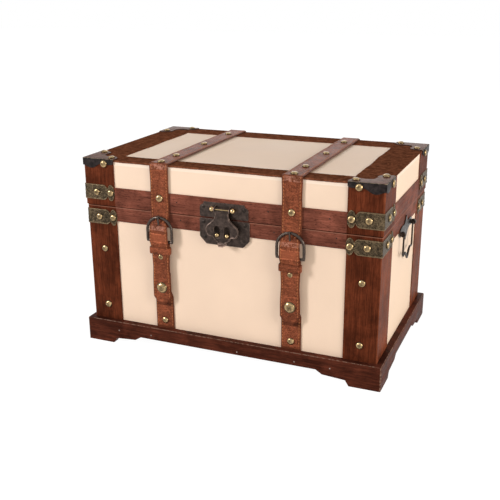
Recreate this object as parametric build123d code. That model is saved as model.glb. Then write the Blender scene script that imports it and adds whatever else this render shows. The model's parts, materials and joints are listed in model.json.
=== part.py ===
from build123d import *
import os

# Millimetres. X runs along the box, the front faces -Y and +Z is up.
# The origin is the middle of the floor under the whole box, hardware included.

# Lid, body and plinth
lid_width = 378.0
lid_depth = 235.0
lid_top_z = 241.2
body_inset = 1.0
plinth_lap = 7.5
rim_z = 183.0
rim_gap = 0.3
plinth_top_z = 30.5
plinth_web_z = 14.0
carcass_y = 2.75

# Thicknesses of the boards, of the brown trim on them and of the cream skin
board = 8.0
trim = 2.0
skin = 0.8

# Widths of the brown trim, to its inner edges from the middle of the box
post_inner_x = 147.5
post_inner_y = 66.0
base_band_z = 164.0
lid_band_z = 207.0
top_strip_front = 26.0
top_strip_back = 33.0
top_strip_lip = 1.4

# Plinth feet, measured in from the plinth's outer corner
foot_run = 37.5
foot_step_near = 42.0
foot_step_far = 70.0
foot_web = 78.0
foot_step_low_z = 7.0
foot_step_high_z = 9.0
plinth_edge = 1.5

# Leather straps
strap_x = 84.0
strap_width = 25.0
strap_thick = 2.0
strap_back_z = 207.0
strap_hinge_z = 186.0
strap_bend = 1.2
lower_strap_top_z = 105.0

# Buckle, keeper and snap on each strap
buckle_width = 36.5
buckle_top_z = 179.0
buckle_bar_z = 147.4
buckle_bar_radius = 1.25
buckle_band = 3.5
buckle_thick = 3.0
buckle_back = 121.0
prong_radius = 1.0
prong_hole = 3.4
cross_high_z = 168.5
cross_low_z = 161.0
tab_thick = 2.5
tab_back = 119.8
tab_tip_z = 66.0
tab_top_z = 145.4
tab_cut = 8.5
keeper_low_z = 131.0
keeper_high_z = 140.0
keeper_wall = 1.4
keeper_room = 0.3
rivet_z = 127.0
rivet_radius = 3.0
rivet_height = 1.0
cap_z = 87.0
cap_radius = 7.2
cap_height = 3.4
snap_stud_radius = 3.0
snap_stud_height = 2.2

# Domed nails
nail_radius = 4.9
nail_height = 2.8
pin_head_radius = 1.7
pin_head_height = 0.6

# Embossed corner straps
corner_strap_thick = 0.8
corner_strap_height = 19.0
corner_strap_front = 41.5
corner_strap_side = 46.5
corner_lobe_x = 5.0
corner_lobe_z = 10.2
corner_shoulder_x = 6.5
corner_shoulder_back = 15.6
base_corner_strap_z = 168.2
lid_corner_strap_z = 200.0

# Lid corner caps
cap_leg = 43.0
cap_thick = 1.0

# Latch
latch_pin_z = 195.5
latch_pin_y = 122.8
latch_pin_radius = 1.1
latch_ball_radius = 3.0
latch_ball_x = 13.2
latch_plate_thick = 1.2
hasp_thick = 1.5
hasp_neck = 17.7
hasp_knuckle_radius = 2.4
hasp_lobe_x = 11.7
hasp_lobe_radius = 9.3
hasp_lobe_z = 170.5
hasp_chin_radius = 11.5
hasp_chin_z = 166.5
slot_x = 6.4
slot_width = 7.5
slot_height = 13.0
slot_z = 168.6
stud_ball_radius = 2.75
stud_ball_y = 124.5
stud_shank_radius = 1.5
stud_z = 165.0

# Side handles
handle_pivot_x = 192.3
handle_pivot_z = 161.0
handle_rod_radius = 1.6
handle_plate_thick = 1.5
handle_leg_y = 24.5
handle_lug_y = 27.5
handle_lug_thick = 4.0

# Back hinges
hinge_x = 118.0
hinge_width = 40.0
hinge_y = 120.8
hinge_pin_radius = 1.1
hinge_knuckle_radius = 2.4
hinge_leaf_thick = 1.2
hinge_knuckles = 5

# Running clearance of every pin in its bore
running = 0.05

# Worked-out faces
body_x = lid_width / 2 - body_inset
body_y = lid_depth / 2 - body_inset
lid_x = lid_width / 2
lid_y = lid_depth / 2
plinth_x = body_x + plinth_lap
plinth_y = body_y + plinth_lap
base_rim_z = rim_z - rim_gap
lid_rim_z = rim_z + rim_gap
strip_z = lid_top_z - skin
roof_z = strip_z - skin
floor_top_z = plinth_web_z + board
pieces = {}


def slab(x, y, z):
    """A block between the low and high values given for each axis."""
    size = Box(x[1] - x[0], y[1] - y[0], z[1] - z[0])
    return Pos((x[0] + x[1]) / 2, (y[0] + y[1]) / 2, (z[0] + z[1]) / 2) * size


def face_of(points):
    """A flat face inside a closed line of points."""
    return make_face(Polyline(*points, close=True))


def mirrored(points):
    """A line from top to bottom on the +side, closed by its own mirror image."""
    return points + [(-a, b) for a, b in reversed(points)]


def front_plate(sketch, back, thick):
    """An (x, z) sketch as a plate whose back is this far in front of the middle."""
    return extrude(Plane.XZ.offset(back) * sketch, amount=thick)


def side_plate(sketch, back, thick):
    """A (y, z) sketch as a plate whose back is this far to the right of the middle."""
    return extrude(Plane.YZ.offset(back) * sketch, amount=thick)


def rod_x(radius, x0, x1, y, z):
    """A round rod along X from x0 to x1."""
    return Pos((x0 + x1) / 2, y, z) * Rot(0, 90, 0) * Cylinder(radius, x1 - x0)


def rod_y(radius, y0, y1, x, z):
    """A round rod along Y from y0 to y1."""
    return Pos(x, (y0 + y1) / 2, z) * Rot(90, 0, 0) * Cylinder(radius, y1 - y0)


def bent_strip(points, bend, thick, width, x):
    """A strip with its middle at x that follows a line of (y, z) points."""
    line = FilletPolyline(*points, radius=bend)
    return side_plate(trace(line, line_width=thick), x - width / 2, width)


def dome(radius, height):
    """A shallow dome on the floor of its own frame."""
    ball = (radius**2 + height**2) / (2 * height)
    return Pos(0, 0, height - ball) * Sphere(ball) & Pos(0, 0, ball) * Box(4 * ball, 4 * ball, 2 * ball)


turn = {
    "top": Rot(0, 0, 0),
    "front": Rot(90, 0, 0),
    "back": Rot(-90, 0, 0),
    "right": Rot(0, 90, 0),
    "left": Rot(0, -90, 0),
}


def dome_on(face, x, y, z, radius=nail_radius, height=nail_height):
    """A dome that stands out of the named face at a point."""
    return Pos(x, y, z) * turn[face] * dome(radius, height)


def group(shapes):
    """Separate solids that share one node."""
    return Compound([solid for shape in shapes for solid in shape.solids()])


def left_of(shape):
    """The same piece on the other end of the box."""
    return mirror(shape, about=Plane.YZ)


def four_corners(shape):
    """A piece made at the right back corner, at all four corners."""
    pair = [shape, mirror(shape, about=Plane.XZ)]
    return group(pair + [left_of(one) for one in pair])


def board_ring(name, half_x, half_y, low_z, high_z):
    """Four wall boards: front and back run full length, the ends stand between."""
    ends = (-half_y + board, half_y - board)
    pieces[name + "_front_board"] = slab((-half_x, half_x), (-half_y, -half_y + board), (low_z, high_z))
    pieces[name + "_back_board"] = slab((-half_x, half_x), (half_y - board, half_y), (low_z, high_z))
    pieces[name + "_left_board"] = slab((-half_x, -half_x + board), ends, (low_z, high_z))
    pieces[name + "_right_board"] = slab((half_x - board, half_x), ends, (low_z, high_z))


def skin_ring(name, half_x, half_y, low_z, high_z):
    """Four cream skins on the boards, between the corner posts."""
    wide = (-post_inner_x, post_inner_x)
    deep = (-post_inner_y, post_inner_y)
    heights = (low_z, high_z)
    pieces[name + "_front_panel"] = slab(wide, (-half_y - skin, -half_y), heights)
    pieces[name + "_back_panel"] = slab(wide, (half_y, half_y + skin), heights)
    pieces[name + "_left_panel"] = slab((-half_x - skin, -half_x), deep, heights)
    pieces[name + "_right_panel"] = slab((half_x, half_x + skin), deep, heights)


def rim_bands(half_x, half_y, low_z, high_z):
    """Brown bands along the rim between the corner posts."""
    long_band = slab((-post_inner_x, post_inner_x), (half_y - trim, half_y), (low_z, high_z))
    end_band = slab((half_x - trim, half_x), (-post_inner_y, post_inner_y), (low_z, high_z))
    return group([long_band, mirror(long_band, about=Plane.XZ), end_band, left_of(end_band)])


def corner_post(half_x, half_y, low_z, high_z):
    """An angle of brown trim round the right back corner."""
    heights = (low_z, high_z)
    long_leg = slab((post_inner_x, half_x), (half_y - trim, half_y), heights)
    end_leg = slab((half_x - trim, half_x), (post_inner_y, half_y), heights)
    angle = long_leg + end_leg
    outer = angle.edges().filter_by(Axis.Z).sort_by_distance((half_x, half_y, (low_z + high_z) / 2))[0]
    return fillet(outer, 1.0)


def lobed_strip(half, reach, mid_z):
    """A corner strap's leg, laid flat: a straight part, a waist and a tall end lobe."""
    straight = reach - corner_shoulder_back
    run = straight + corner_strap_thick
    leg = Pos(half + corner_strap_thick - run / 2, mid_z) * Rectangle(run, corner_strap_height)
    shoulder = Pos(half - straight, mid_z) * Ellipse(corner_shoulder_x, corner_strap_height / 2)
    lobe = Pos(half - reach + corner_lobe_x, mid_z) * Ellipse(corner_lobe_x, corner_lobe_z)
    return leg + shoulder + lobe


def corner_strap(half_x, half_y, mid_z):
    """A brass strap bent round the right back corner."""
    outer_y = half_y + corner_strap_thick
    long_leg = front_plate(lobed_strip(half_x, corner_strap_front, mid_z), -outer_y, corner_strap_thick)
    end_leg = side_plate(lobed_strip(half_y, corner_strap_side, mid_z), half_x, corner_strap_thick)
    return long_leg + end_leg


def corner_cap():
    """A metal cap over the lid's right back corner: a top plate and two scalloped flanges."""
    out_x = lid_x + cap_thick
    out_y = lid_y + cap_thick
    plan = [(0, 0), (cap_leg, 0), (cap_leg, 12), (36, 17.5), (26, 17), (17, 26), (17.5, 36), (12, cap_leg)]
    plan.append((0, cap_leg))
    top = extrude(Plane.XY.offset(lid_top_z) * face_of([(out_x - a, out_y - b) for a, b in plan]), cap_thick)
    drop = [(0, 0), (cap_leg, 0), (cap_leg, 6.5), (24, 7.5), (17, 11), (9, 12.2), (0, 10)]
    cap_top_z = lid_top_z + cap_thick
    long_flange = face_of([(out_x - a, cap_top_z - b) for a, b in drop])
    end_flange = face_of([(out_y - a, cap_top_z - b) for a, b in drop])
    return top + front_plate(long_flange, -out_y, cap_thick) + side_plate(end_flange, lid_x, cap_thick)


def corner_nails(half_x, half_y, mid_z):
    """Two nails on each leg of a corner strap."""
    face_x = half_x + corner_strap_thick
    face_y = half_y + corner_strap_thick
    along = [(half_x - reach, face_y, "back") for reach in (16.5, 36.3)]
    nails = [dome_on(face, x, y, mid_z) for x, y, face in along]
    return nails + [dome_on("right", face_x, half_y - reach, mid_z) for reach in (20.0, 41.3)]


def plinth_line(half, cut):
    """A plinth board's face: two feet with a step, and a web between them."""
    side = [(cut, plinth_top_z), (cut, 0), (half - foot_run, 0), (half - foot_step_near, foot_step_low_z)]
    side += [(half - foot_step_far, foot_step_high_z), (half - foot_web, plinth_web_z)]
    return face_of(mirrored(side))


def make_plinth():
    """Four boards round the foot of the box, the long ones lapping the short ones."""
    thick = plinth_lap + trim
    front = front_plate(plinth_line(plinth_x, plinth_x), body_y - trim, thick)
    top_edge = front.edges().filter_by(Axis.X).group_by(Axis.Z)[-1].group_by(Axis.Y)[0]
    front = fillet(top_edge, plinth_edge)
    front = fillet(front.edges().filter_by(Axis.Z).group_by(Axis.Y)[0], plinth_edge)
    right = side_plate(plinth_line(plinth_y, body_y - trim), body_x - trim, thick)
    right = fillet(right.edges().filter_by(Axis.Y).group_by(Axis.Z)[-1].group_by(Axis.X)[-1], plinth_edge)
    pieces["plinth_front"] = front
    pieces["plinth_back"] = mirror(front, about=Plane.XZ)
    pieces["plinth_right"] = right
    pieces["plinth_left"] = left_of(right)


def make_base():
    """The body of the box, from its boards out to the trim on them."""
    half_x = body_x - trim
    half_y = body_y - trim
    board_ring("base", half_x, half_y, plinth_web_z, base_rim_z)
    inner_x = half_x - board
    inner_y = half_y - board
    floor = slab((-inner_x, inner_x), (-inner_y, inner_y), (plinth_web_z, floor_top_z))
    pieces["base_floor_board"] = floor
    skin_ring("base", half_x, half_y, plinth_top_z, base_band_z)
    pieces["base_rim_bands"] = rim_bands(body_x, body_y, base_band_z, base_rim_z)
    pieces["base_corner_posts"] = four_corners(corner_post(body_x, body_y, plinth_top_z, base_rim_z))
    pieces["base_corner_straps"] = four_corners(corner_strap(body_x, body_y, base_corner_strap_z))


def make_lid():
    """The lid, from its boards out to the strips glued on top."""
    half_x = lid_x - trim
    half_y = lid_y - trim
    board_ring("lid", half_x, half_y, lid_rim_z, roof_z)
    inner_x = half_x - board
    inner_y = half_y - board
    pieces["lid_top_board"] = slab((-inner_x, inner_x), (-inner_y, inner_y), (roof_z - board, roof_z))
    skin_ring("lid", half_x, half_y, lid_band_z, strip_z)
    pieces["lid_top_panel"] = slab((-half_x, half_x), (-half_y, half_y), (roof_z, strip_z))
    pieces["lid_rim_bands"] = rim_bands(lid_x, lid_y, lid_rim_z, lid_band_z)
    pieces["lid_corner_posts"] = four_corners(corner_post(lid_x, lid_y, lid_rim_z, strip_z))
    pieces["lid_corner_straps"] = four_corners(corner_strap(lid_x, lid_y, lid_corner_strap_z))
    pieces["lid_corner_caps"] = four_corners(corner_cap())


def make_top_strips():
    """Brown strips on the lid's top edges; the long ones turn down over the edge."""
    wide = (-post_inner_x, post_inner_x)
    face = lid_y - trim + skin
    out = face + skin
    end = slab((post_inner_x, lid_x), (-lid_y, lid_y), (strip_z, lid_top_z))
    front = slab(wide, (-out, -lid_y + top_strip_front), (strip_z, lid_top_z))
    front += slab(wide, (-out, -face), (strip_z - top_strip_lip, strip_z))
    back = slab(wide, (lid_y - top_strip_back, out), (strip_z, lid_top_z))
    back += slab(wide, (face, out), (strip_z - top_strip_lip, strip_z))
    pieces["lid_top_strips"] = group([end, left_of(end), front, back])


def strap_parts(side, x):
    """One strap: the leather on the lid and body, and what lifts with its free end."""
    half = strap_width / 2
    over = strap_thick / 2
    line_y = lid_y + over
    line_z = lid_top_z + over
    run = [(line_y, strap_back_z), (line_y, line_z), (-line_y, line_z), (-line_y, strap_hinge_z + 1.2)]
    pieces[side + "_upper_strap"] = bent_strip(run, strap_bend, strap_thick, strap_width, x)
    low_face = body_y - trim + skin
    low_y = (-low_face - strap_thick, -low_face)
    pieces[side + "_lower_strap"] = slab((x - half, x + half), low_y, (plinth_top_z, lower_strap_top_z))

    behind = buckle_back - 0.6 - over
    before = buckle_back + buckle_thick + 0.3 + over
    on_tab = tab_back + tab_thick + 0.2 + over
    tail = [(-line_y, strap_hinge_z - 1), (-behind, 180), (-behind, cross_high_z), (-before, cross_low_z)]
    tail += [(-before, 146), (-on_tab, 141), (-on_tab, keeper_low_z + 1)]
    leather = bent_strip(tail, 2.0, strap_thick, strap_width, x)
    hole_x = (x - prong_hole / 2, x + prong_hole / 2)
    hole = slab(hole_x, (-before - over, -behind + over), (cross_low_z - 0.5, cross_high_z - 1))
    pieces[side + "_strap_tail"] = leather - hole

    tab = [(half, tab_top_z), (half, tab_tip_z + tab_cut), (half - tab_cut, tab_tip_z)]
    tab_face = Pos(x, 0) * face_of(mirrored(tab))
    pieces[side + "_strap_tab"] = front_plate(tab_face, tab_back, tab_thick)

    keeper_x = half + keeper_room
    keeper_back = tab_back - keeper_room
    keeper_front = on_tab + over + keeper_room
    heights = (keeper_low_z, keeper_high_z)
    hollow = slab((x - keeper_x, x + keeper_x), (-keeper_front, -keeper_back), heights)
    outer_x = keeper_x + keeper_wall
    outer_y = (-keeper_front - keeper_wall, -keeper_back + keeper_wall)
    pieces[side + "_keeper"] = slab((x - outer_x, x + outer_x), outer_y, heights) - hollow


def buckle_parts(side, x):
    """A horseshoe buckle frame with its base bar, and the prong that rests on its top."""
    half = buckle_width / 2
    crown_z = buckle_top_z - half
    inner = half - buckle_band
    foot = [(half, crown_z), (half, buckle_bar_z - 1.4)]
    hole = [(inner, crown_z), (inner, buckle_bar_z - 2.4)]
    window = Pos(0, (buckle_top_z + foot[1][1]) / 2) * Rectangle(buckle_width, buckle_top_z - foot[1][1])
    outline = (Pos(0, crown_z) * Circle(half) + face_of(mirrored(foot))) & window
    outline -= Pos(0, crown_z) * Circle(inner) + face_of(mirrored(hole))
    frame = Pos(x, 0, 0) * front_plate(outline, buckle_back, buckle_thick)
    mid_y = -buckle_back - buckle_thick / 2
    frame += rod_x(buckle_bar_radius, x - half + 1, x + half - 1, mid_y, buckle_bar_z)
    rest_y = -buckle_back - buckle_thick - prong_radius - 0.3
    bar_top = buckle_bar_z + buckle_bar_radius + 0.2
    bends = [(mid_y, bar_top), (mid_y, cross_low_z - 1), (rest_y, cross_high_z), (rest_y, buckle_top_z + 0.5)]
    route = FilletPolyline(*bends, radius=2.5)
    path = Plane.YZ.offset(x) * route
    prong = sweep(Plane(path @ 0, z_dir=path % 0) * Circle(prong_radius), path=path)
    pieces[side + "_buckle"] = group([frame, prong])


def snap_parts(side, x):
    """The snap's domed cap and the small rivet, on the strap's tab."""
    front = -tab_back - tab_thick
    cap = dome_on("front", x, front, cap_z, cap_radius, cap_height)
    rivet = dome_on("front", x, front, rivet_z, rivet_radius, rivet_height)
    pieces[side + "_snap_cap"] = group([cap, rivet])


def make_straps():
    """Both straps, and the snap studs that stay on the body."""
    studs = []
    low_face = body_y - trim + skin + strap_thick
    for side, x in (("left", -strap_x), ("right", strap_x)):
        strap_parts(side, x)
        buckle_parts(side, x)
        snap_parts(side, x)
        studs.append(rod_y(snap_stud_radius, -low_face - snap_stud_height, -low_face, x, cap_z))
    pieces["snap_studs"] = group(studs)


def make_latch_plates():
    """The latch's two plates, the pin that carries the hasp and the studs it drops over."""
    upper = [(26, 202.5), (31, 197.5), (31, rim_z + 1)]
    ear_x0 = hasp_neck / 2 + 0.2
    ear_x1 = latch_ball_x - latch_ball_radius - 0.1
    plate = front_plate(face_of(mirrored(upper)), lid_y, latch_plate_thick)
    ear_y = (-latch_pin_y - 2.2, -lid_y - latch_plate_thick)
    ear = slab((ear_x0, ear_x1), ear_y, (latch_pin_z - 3, latch_pin_z + 3))
    plate += ear + left_of(ear)
    plate -= rod_x(latch_pin_radius + running, -20, 20, -latch_pin_y, latch_pin_z)
    pieces["latch_upper_plate"] = plate
    pin = rod_x(latch_pin_radius, -latch_ball_x, latch_ball_x, -latch_pin_y, latch_pin_z)
    ball = Pos(latch_ball_x, -latch_pin_y, latch_pin_z) * Sphere(latch_ball_radius)
    pieces["latch_pin"] = pin + ball + left_of(ball)
    lower = [(32, rim_z - 1), (32, 158.5), (24, 150.5)]
    pieces["latch_lower_plate"] = front_plate(face_of(mirrored(lower)), body_y, latch_plate_thick)
    face = -body_y - latch_plate_thick
    stud = rod_y(stud_shank_radius, -stud_ball_y, face, slot_x, stud_z)
    stud += Pos(slot_x, -stud_ball_y, stud_z) * Sphere(stud_ball_radius)
    pieces["latch_studs"] = group([stud, left_of(stud)])


def make_hasp():
    """The hasp: rolled knuckle, flared neck, two lobes, two slots and a finger lip."""
    half = hasp_neck / 2
    neck = face_of(mirrored([(half, latch_pin_z), (half, 188), (11, 182), (16, 177.5), (16, 168)]))
    outline = neck + Pos(0, hasp_chin_z) * Circle(hasp_chin_radius)
    outline += Pos(hasp_lobe_x, hasp_lobe_z) * Circle(hasp_lobe_radius)
    outline += Pos(-hasp_lobe_x, hasp_lobe_z) * Circle(hasp_lobe_radius)
    for x in (-slot_x, slot_x):
        outline -= Pos(x, slot_z) * Rot(0, 0, 90) * SlotOverall(slot_height, slot_width)
    back = latch_pin_y + hasp_knuckle_radius - hasp_thick
    plate = front_plate(outline, back, hasp_thick)
    plate += rod_x(hasp_knuckle_radius, -half, half, -latch_pin_y, latch_pin_z)
    plate -= rod_x(latch_pin_radius + running, -half - 1, half + 1, -latch_pin_y, latch_pin_z)
    lip_y = -back - hasp_thick / 2
    lip = [(lip_y, 158), (lip_y, 153.4), (lip_y - 4.9, 152.4)]
    plate += bent_strip(lip, 2.0, hasp_thick, 11, 0)
    pieces["latch_hasp"] = plate


def make_handles():
    """A pointed plate with two lugs on each end of the box, and the bail that hangs from it."""
    outline = [(0, 176), (7, 169.5), (12, 166.5), (31.5, 165), (31.5, 157), (14, 156.5), (7, 152), (0, 147)]
    plate_face = face_of(outline + [(-y, z) for y, z in reversed(outline[1:-1])])
    plate = side_plate(plate_face, body_x, handle_plate_thick)
    lug_x = (body_x + handle_plate_thick, handle_pivot_x + 2.4)
    lug_z = (handle_pivot_z - 3.5, handle_pivot_z + 3.5)
    lug = slab(lug_x, (handle_lug_y, handle_lug_y + handle_lug_thick), lug_z)
    plate += lug + mirror(lug, about=Plane.XZ)
    reach = handle_lug_y + 3
    plate -= rod_y(handle_rod_radius + running, -reach, reach, handle_pivot_x, handle_pivot_z)
    pieces["right_handle_plate"] = plate
    pieces["left_handle_plate"] = left_of(plate)

    leg = handle_leg_y
    end = reach - 0.2
    half_route = [(-end, handle_pivot_z), (-leg, handle_pivot_z), (-leg, 133), (-12, 133)]
    route = half_route + [(0, 122.5)] + [(-y, z) for y, z in reversed(half_route)]
    path = Plane.YZ.offset(handle_pivot_x) * FilletPolyline(*route, radius=2.4)
    bail = sweep(Plane(path @ 0, z_dir=path % 0) * Circle(handle_rod_radius), path=path)
    pieces["right_handle_bail"] = bail
    pieces["left_handle_bail"] = left_of(bail)


def hinge_half(face_y, leaf_z, web_z, first):
    """One leaf of the right hinge, with every second knuckle from the first one given."""
    low_x = hinge_x - hinge_width / 2
    pitch = hinge_width / hinge_knuckles
    leaf = slab((low_x, low_x + hinge_width), (face_y, face_y + hinge_leaf_thick), leaf_z)
    for index in range(first, hinge_knuckles, 2):
        knuckle_x = (low_x + index * pitch + 0.1, low_x + (index + 1) * pitch - 0.1)
        leaf += rod_x(hinge_knuckle_radius, *knuckle_x, hinge_y, rim_z)
        leaf += slab(knuckle_x, (face_y, hinge_y), web_z)
    return leaf - rod_x(hinge_pin_radius + running, low_x - 1, low_x + hinge_width + 1, hinge_y, rim_z)


def make_hinges():
    """Two butt hinges across the rim at the back, with their pins."""
    base_leaf = hinge_half(body_y, (166, 181.6), (180.9, 182.4), 0)
    lid_leaf = hinge_half(lid_y, (186.4, 201), (183.6, 187), 1)
    pin = rod_x(hinge_pin_radius, hinge_x - hinge_width / 2, hinge_x + hinge_width / 2, hinge_y, rim_z)
    pieces["hinge_base_leaves"] = group([base_leaf, left_of(base_leaf)])
    pieces["hinge_lid_leaves"] = group([lid_leaf, left_of(lid_leaf)])
    pieces["hinge_pins"] = group([pin, left_of(pin)])


def small_heads(face, y, places):
    """Flat pin heads on the front or back, at (x, z) places and their mirror images."""
    heads = [dome_on(face, x, y, z, pin_head_radius, pin_head_height) for x, z in places]
    return heads + [left_of(head) for head in heads]


def make_base_nails():
    """Every nail and pin head that stays on the body."""
    right = corner_nails(body_x, body_y, base_corner_strap_z)
    right += [dome_on("back", 167, body_y, z) for z in (126.5, 50.5)]
    nails = [four_corners(nail) for nail in right]
    strap_y = -body_y + trim - skin - strap_thick
    nails += [dome_on("front", x, strap_y, 41.5) for x in (-strap_x, strap_x)]
    nails += small_heads("front", -body_y - latch_plate_thick, [(26.5, 177), (25, 158.5)])
    nails += small_heads("back", body_y + hinge_leaf_thick, [(hinge_x - 13, 173), (hinge_x + 13, 173)])
    pieces["base_nails"] = group(nails)


def make_lid_nails():
    """Every nail and pin head that goes up with the lid."""
    out_x = lid_x + cap_thick
    out_y = lid_y + cap_thick
    cap_top_z = lid_top_z + cap_thick
    right = corner_nails(lid_x, lid_y, lid_corner_strap_z)
    right.append(dome_on("back", out_x - 30, out_y, cap_top_z - 6))
    right.append(dome_on("right", out_x, out_y - 30, cap_top_z - 6))
    right.append(dome_on("top", out_x - 36, out_y - 9, cap_top_z))
    right.append(dome_on("top", out_x - 9, out_y - 36, cap_top_z))
    nails = [four_corners(nail) for nail in right]
    for x in (-strap_x, strap_x):
        nails += [dome_on("top", x, y, lid_top_z + strap_thick) for y in (-111.5, -73, 5, 83)]
        nails.append(dome_on("front", x, -lid_y - strap_thick, 200.5))
        nails.append(dome_on("back", x, lid_y + strap_thick, 218))
    nails += small_heads("front", -lid_y - latch_plate_thick, [(26, 196)])
    nails += small_heads("back", lid_y + hinge_leaf_thick, [(hinge_x - 13, 194), (hinge_x + 13, 194)])
    pieces["lid_nails"] = group(nails)


make_base()
make_plinth()
make_lid()
make_top_strips()
make_straps()
make_latch_plates()
make_hasp()
make_handles()
make_hinges()
make_base_nails()
make_lid_nails()

os.makedirs("parts", exist_ok=True)
placed = [Pos(0, carcass_y, 0) * shape for shape in pieces.values()]
for name, shape in zip(pieces, placed):
    export_step(shape, "parts/" + name + ".step")
whole = Compound([solid for shape in placed for solid in shape.solids()]).bounding_box()
print(len(pieces), "nodes, from", tuple(whole.min), "to", tuple(whole.max))
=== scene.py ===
"""Dresses the lidded wooden box: stained wood, cream leatherette, leather straps and metal fittings."""

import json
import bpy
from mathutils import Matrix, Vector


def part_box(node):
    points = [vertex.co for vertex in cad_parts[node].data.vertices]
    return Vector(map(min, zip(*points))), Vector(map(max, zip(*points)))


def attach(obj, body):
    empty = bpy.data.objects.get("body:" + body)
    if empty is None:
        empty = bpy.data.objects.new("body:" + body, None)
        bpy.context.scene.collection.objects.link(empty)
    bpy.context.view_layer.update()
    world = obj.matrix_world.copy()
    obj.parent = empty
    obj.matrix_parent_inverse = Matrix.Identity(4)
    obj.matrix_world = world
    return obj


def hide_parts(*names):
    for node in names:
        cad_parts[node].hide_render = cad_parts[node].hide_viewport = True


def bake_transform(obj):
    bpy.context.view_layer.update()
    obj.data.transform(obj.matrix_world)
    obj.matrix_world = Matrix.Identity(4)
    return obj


bl_info = {
    "name": "Keepsake Box Dresser",
    "version": (1, 0, 0),
    "blender": (4, 5, 0),
    "location": "View3D > Sidebar > Keepsake Box",
    "description": "Builds the finishes, straps, nails and fittings of a trunk-style keepsake box",
    "category": "Object",
}

import bmesh
import bpy
import numpy as np
from bpy.props import FloatProperty, FloatVectorProperty, PointerProperty
from mathutils import Matrix, Vector

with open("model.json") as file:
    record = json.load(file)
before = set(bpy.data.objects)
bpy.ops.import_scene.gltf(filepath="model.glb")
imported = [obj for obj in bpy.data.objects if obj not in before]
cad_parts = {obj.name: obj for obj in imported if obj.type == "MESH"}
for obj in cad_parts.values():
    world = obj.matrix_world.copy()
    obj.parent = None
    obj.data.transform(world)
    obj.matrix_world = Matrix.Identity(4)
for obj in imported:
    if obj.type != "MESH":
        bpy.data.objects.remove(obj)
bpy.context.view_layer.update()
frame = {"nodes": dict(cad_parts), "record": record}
MM = 0.001


def span(node):
    """Lowest and highest corner of a frame node, as the rows of an array."""
    return np.array(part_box(node))


def middle_of(node):
    """Middle of a frame node's box."""
    return span(node).sum(0) / 2


# Places of the box's faces, all read from the frame
BODY_LOW, BODY_HIGH = span("base_corner_posts")
LID_LOW, LID_HIGH = span("lid_corner_posts")
CAP_LOW, CAP_HIGH = span("lid_corner_caps")
PANEL_LOW = span("base_front_panel")[0]
PLINTH_LOW, PLINTH_HIGH = span("plinth_front")
STRAP_LOW, STRAP_HIGH = span("right_upper_strap")
TAB_LOW, TAB_HIGH = span("right_strap_tab")
MID_Y = (LID_LOW[1] + LID_HIGH[1]) / 2
LID_TOP = span("lid_top_strips")[1][2]
STRAP_X = (STRAP_LOW[0] + STRAP_HIGH[0]) / 2
STRAP_HALF = (STRAP_HIGH[0] - STRAP_LOW[0]) / 2
RIM_Z = span("base_rim_bands")[1][2]
PLINTH_HALF_Y = MID_Y - PLINTH_LOW[1]
BODY_HALF = (BODY_HIGH - BODY_LOW) / 2
LID_HALF = (LID_HIGH - LID_LOW) / 2
CAP_HALF = (CAP_HIGH - CAP_LOW) / 2
SIDES = {"left": -1, "right": 1}

# Wood grain: repeats for each metre across it, and how much it is squeezed along its run
STREAK_SCALE, FIBRE_SCALE = 240.0, 800.0
PORE_SCALES = (2300, 300)
GRAIN_SQUEEZE = 0.06
# Painted light: factors that make the posts' end faces lighter, as if lit from the end
END_FACE_PAINTED_LIGHT = (2.2, 2.6, 2.8)

# Waves along the leather (turn for each millimetre, start, share) and the stitches beside its edges
CRUMPLE_WAVES = ((0.21, 0.0, 0.5), (0.47, 1.3, 0.3), (0.93, 0.4, 0.2))
STITCH_GIRTH, STITCH_IN = 0.5 * MM, 2.3 * MM

# Tones of a nail's head, as (rise, factor) pairs from its foot to its crown: a painted dark reflection at the
# foot and a painted highlight on the shoulder
NAIL_REFLECTION_TONES = ((0.0, 0.22), (0.14, 0.5), (0.5, 1.5), (1.0, 0.55))

# Marks across the straps, as (height, half width) pairs in millimetres
WARM_HEIGHTS = ((152, 5),)
FOLD_HEIGHTS = ((157.5, 0.7), (147, 0.6))
# Painted highlights: pale gloss at the top fold and just under the buckle
HIGHLIGHT_HEIGHTS = ((239, 3.2), (164.5, 2.6))
# Painted shadow under the tab's tip, on the lower strap
SHADOW_HEIGHTS = ((63.8, 2.4),)


def linear(red, green, blue):
    """A colour of 0 to 255 screen values, as scene values."""
    screen = np.array([red, green, blue]) / 255
    return tuple(np.where(screen <= 0.04045, screen / 12.92, ((screen + 0.055) / 1.055) ** 2.4))


def length_property(name, description, millimetres):
    """A length with a default given in millimetres."""
    return FloatProperty(name=name, description=description, default=millimetres * MM, unit="LENGTH")


def colour_property(name, description, red, green, blue):
    """A colour swatch with a default given in screen values."""
    default = linear(red, green, blue)
    return FloatVectorProperty(
        name=name, description=description, default=default, subtype="COLOR", min=0, max=1
    )


class BoxSizes(bpy.types.PropertyGroup):
    """Sizes that a user may change."""

    strap_thickness: length_property("Strap thickness", "Thickness of the leather straps", 2.0)
    nail_radius: length_property("Nail radius", "Radius of a domed nail's head", 4.5)
    nail_height: length_property("Nail height", "Height of a domed nail's head", 2.8)
    stitch_length: length_property("Stitch length", "Length of one stitch in the straps", 2.6)
    stitch_gap: length_property("Stitch gap", "Gap between two stitches", 1.2)
    plate_bevel: length_property("Plate bevel", "Rounding of the metal plates' edges", 0.35)
    emboss_depth: length_property("Emboss depth", "Height of the scrolls on the corner straps", 0.3)


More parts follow.
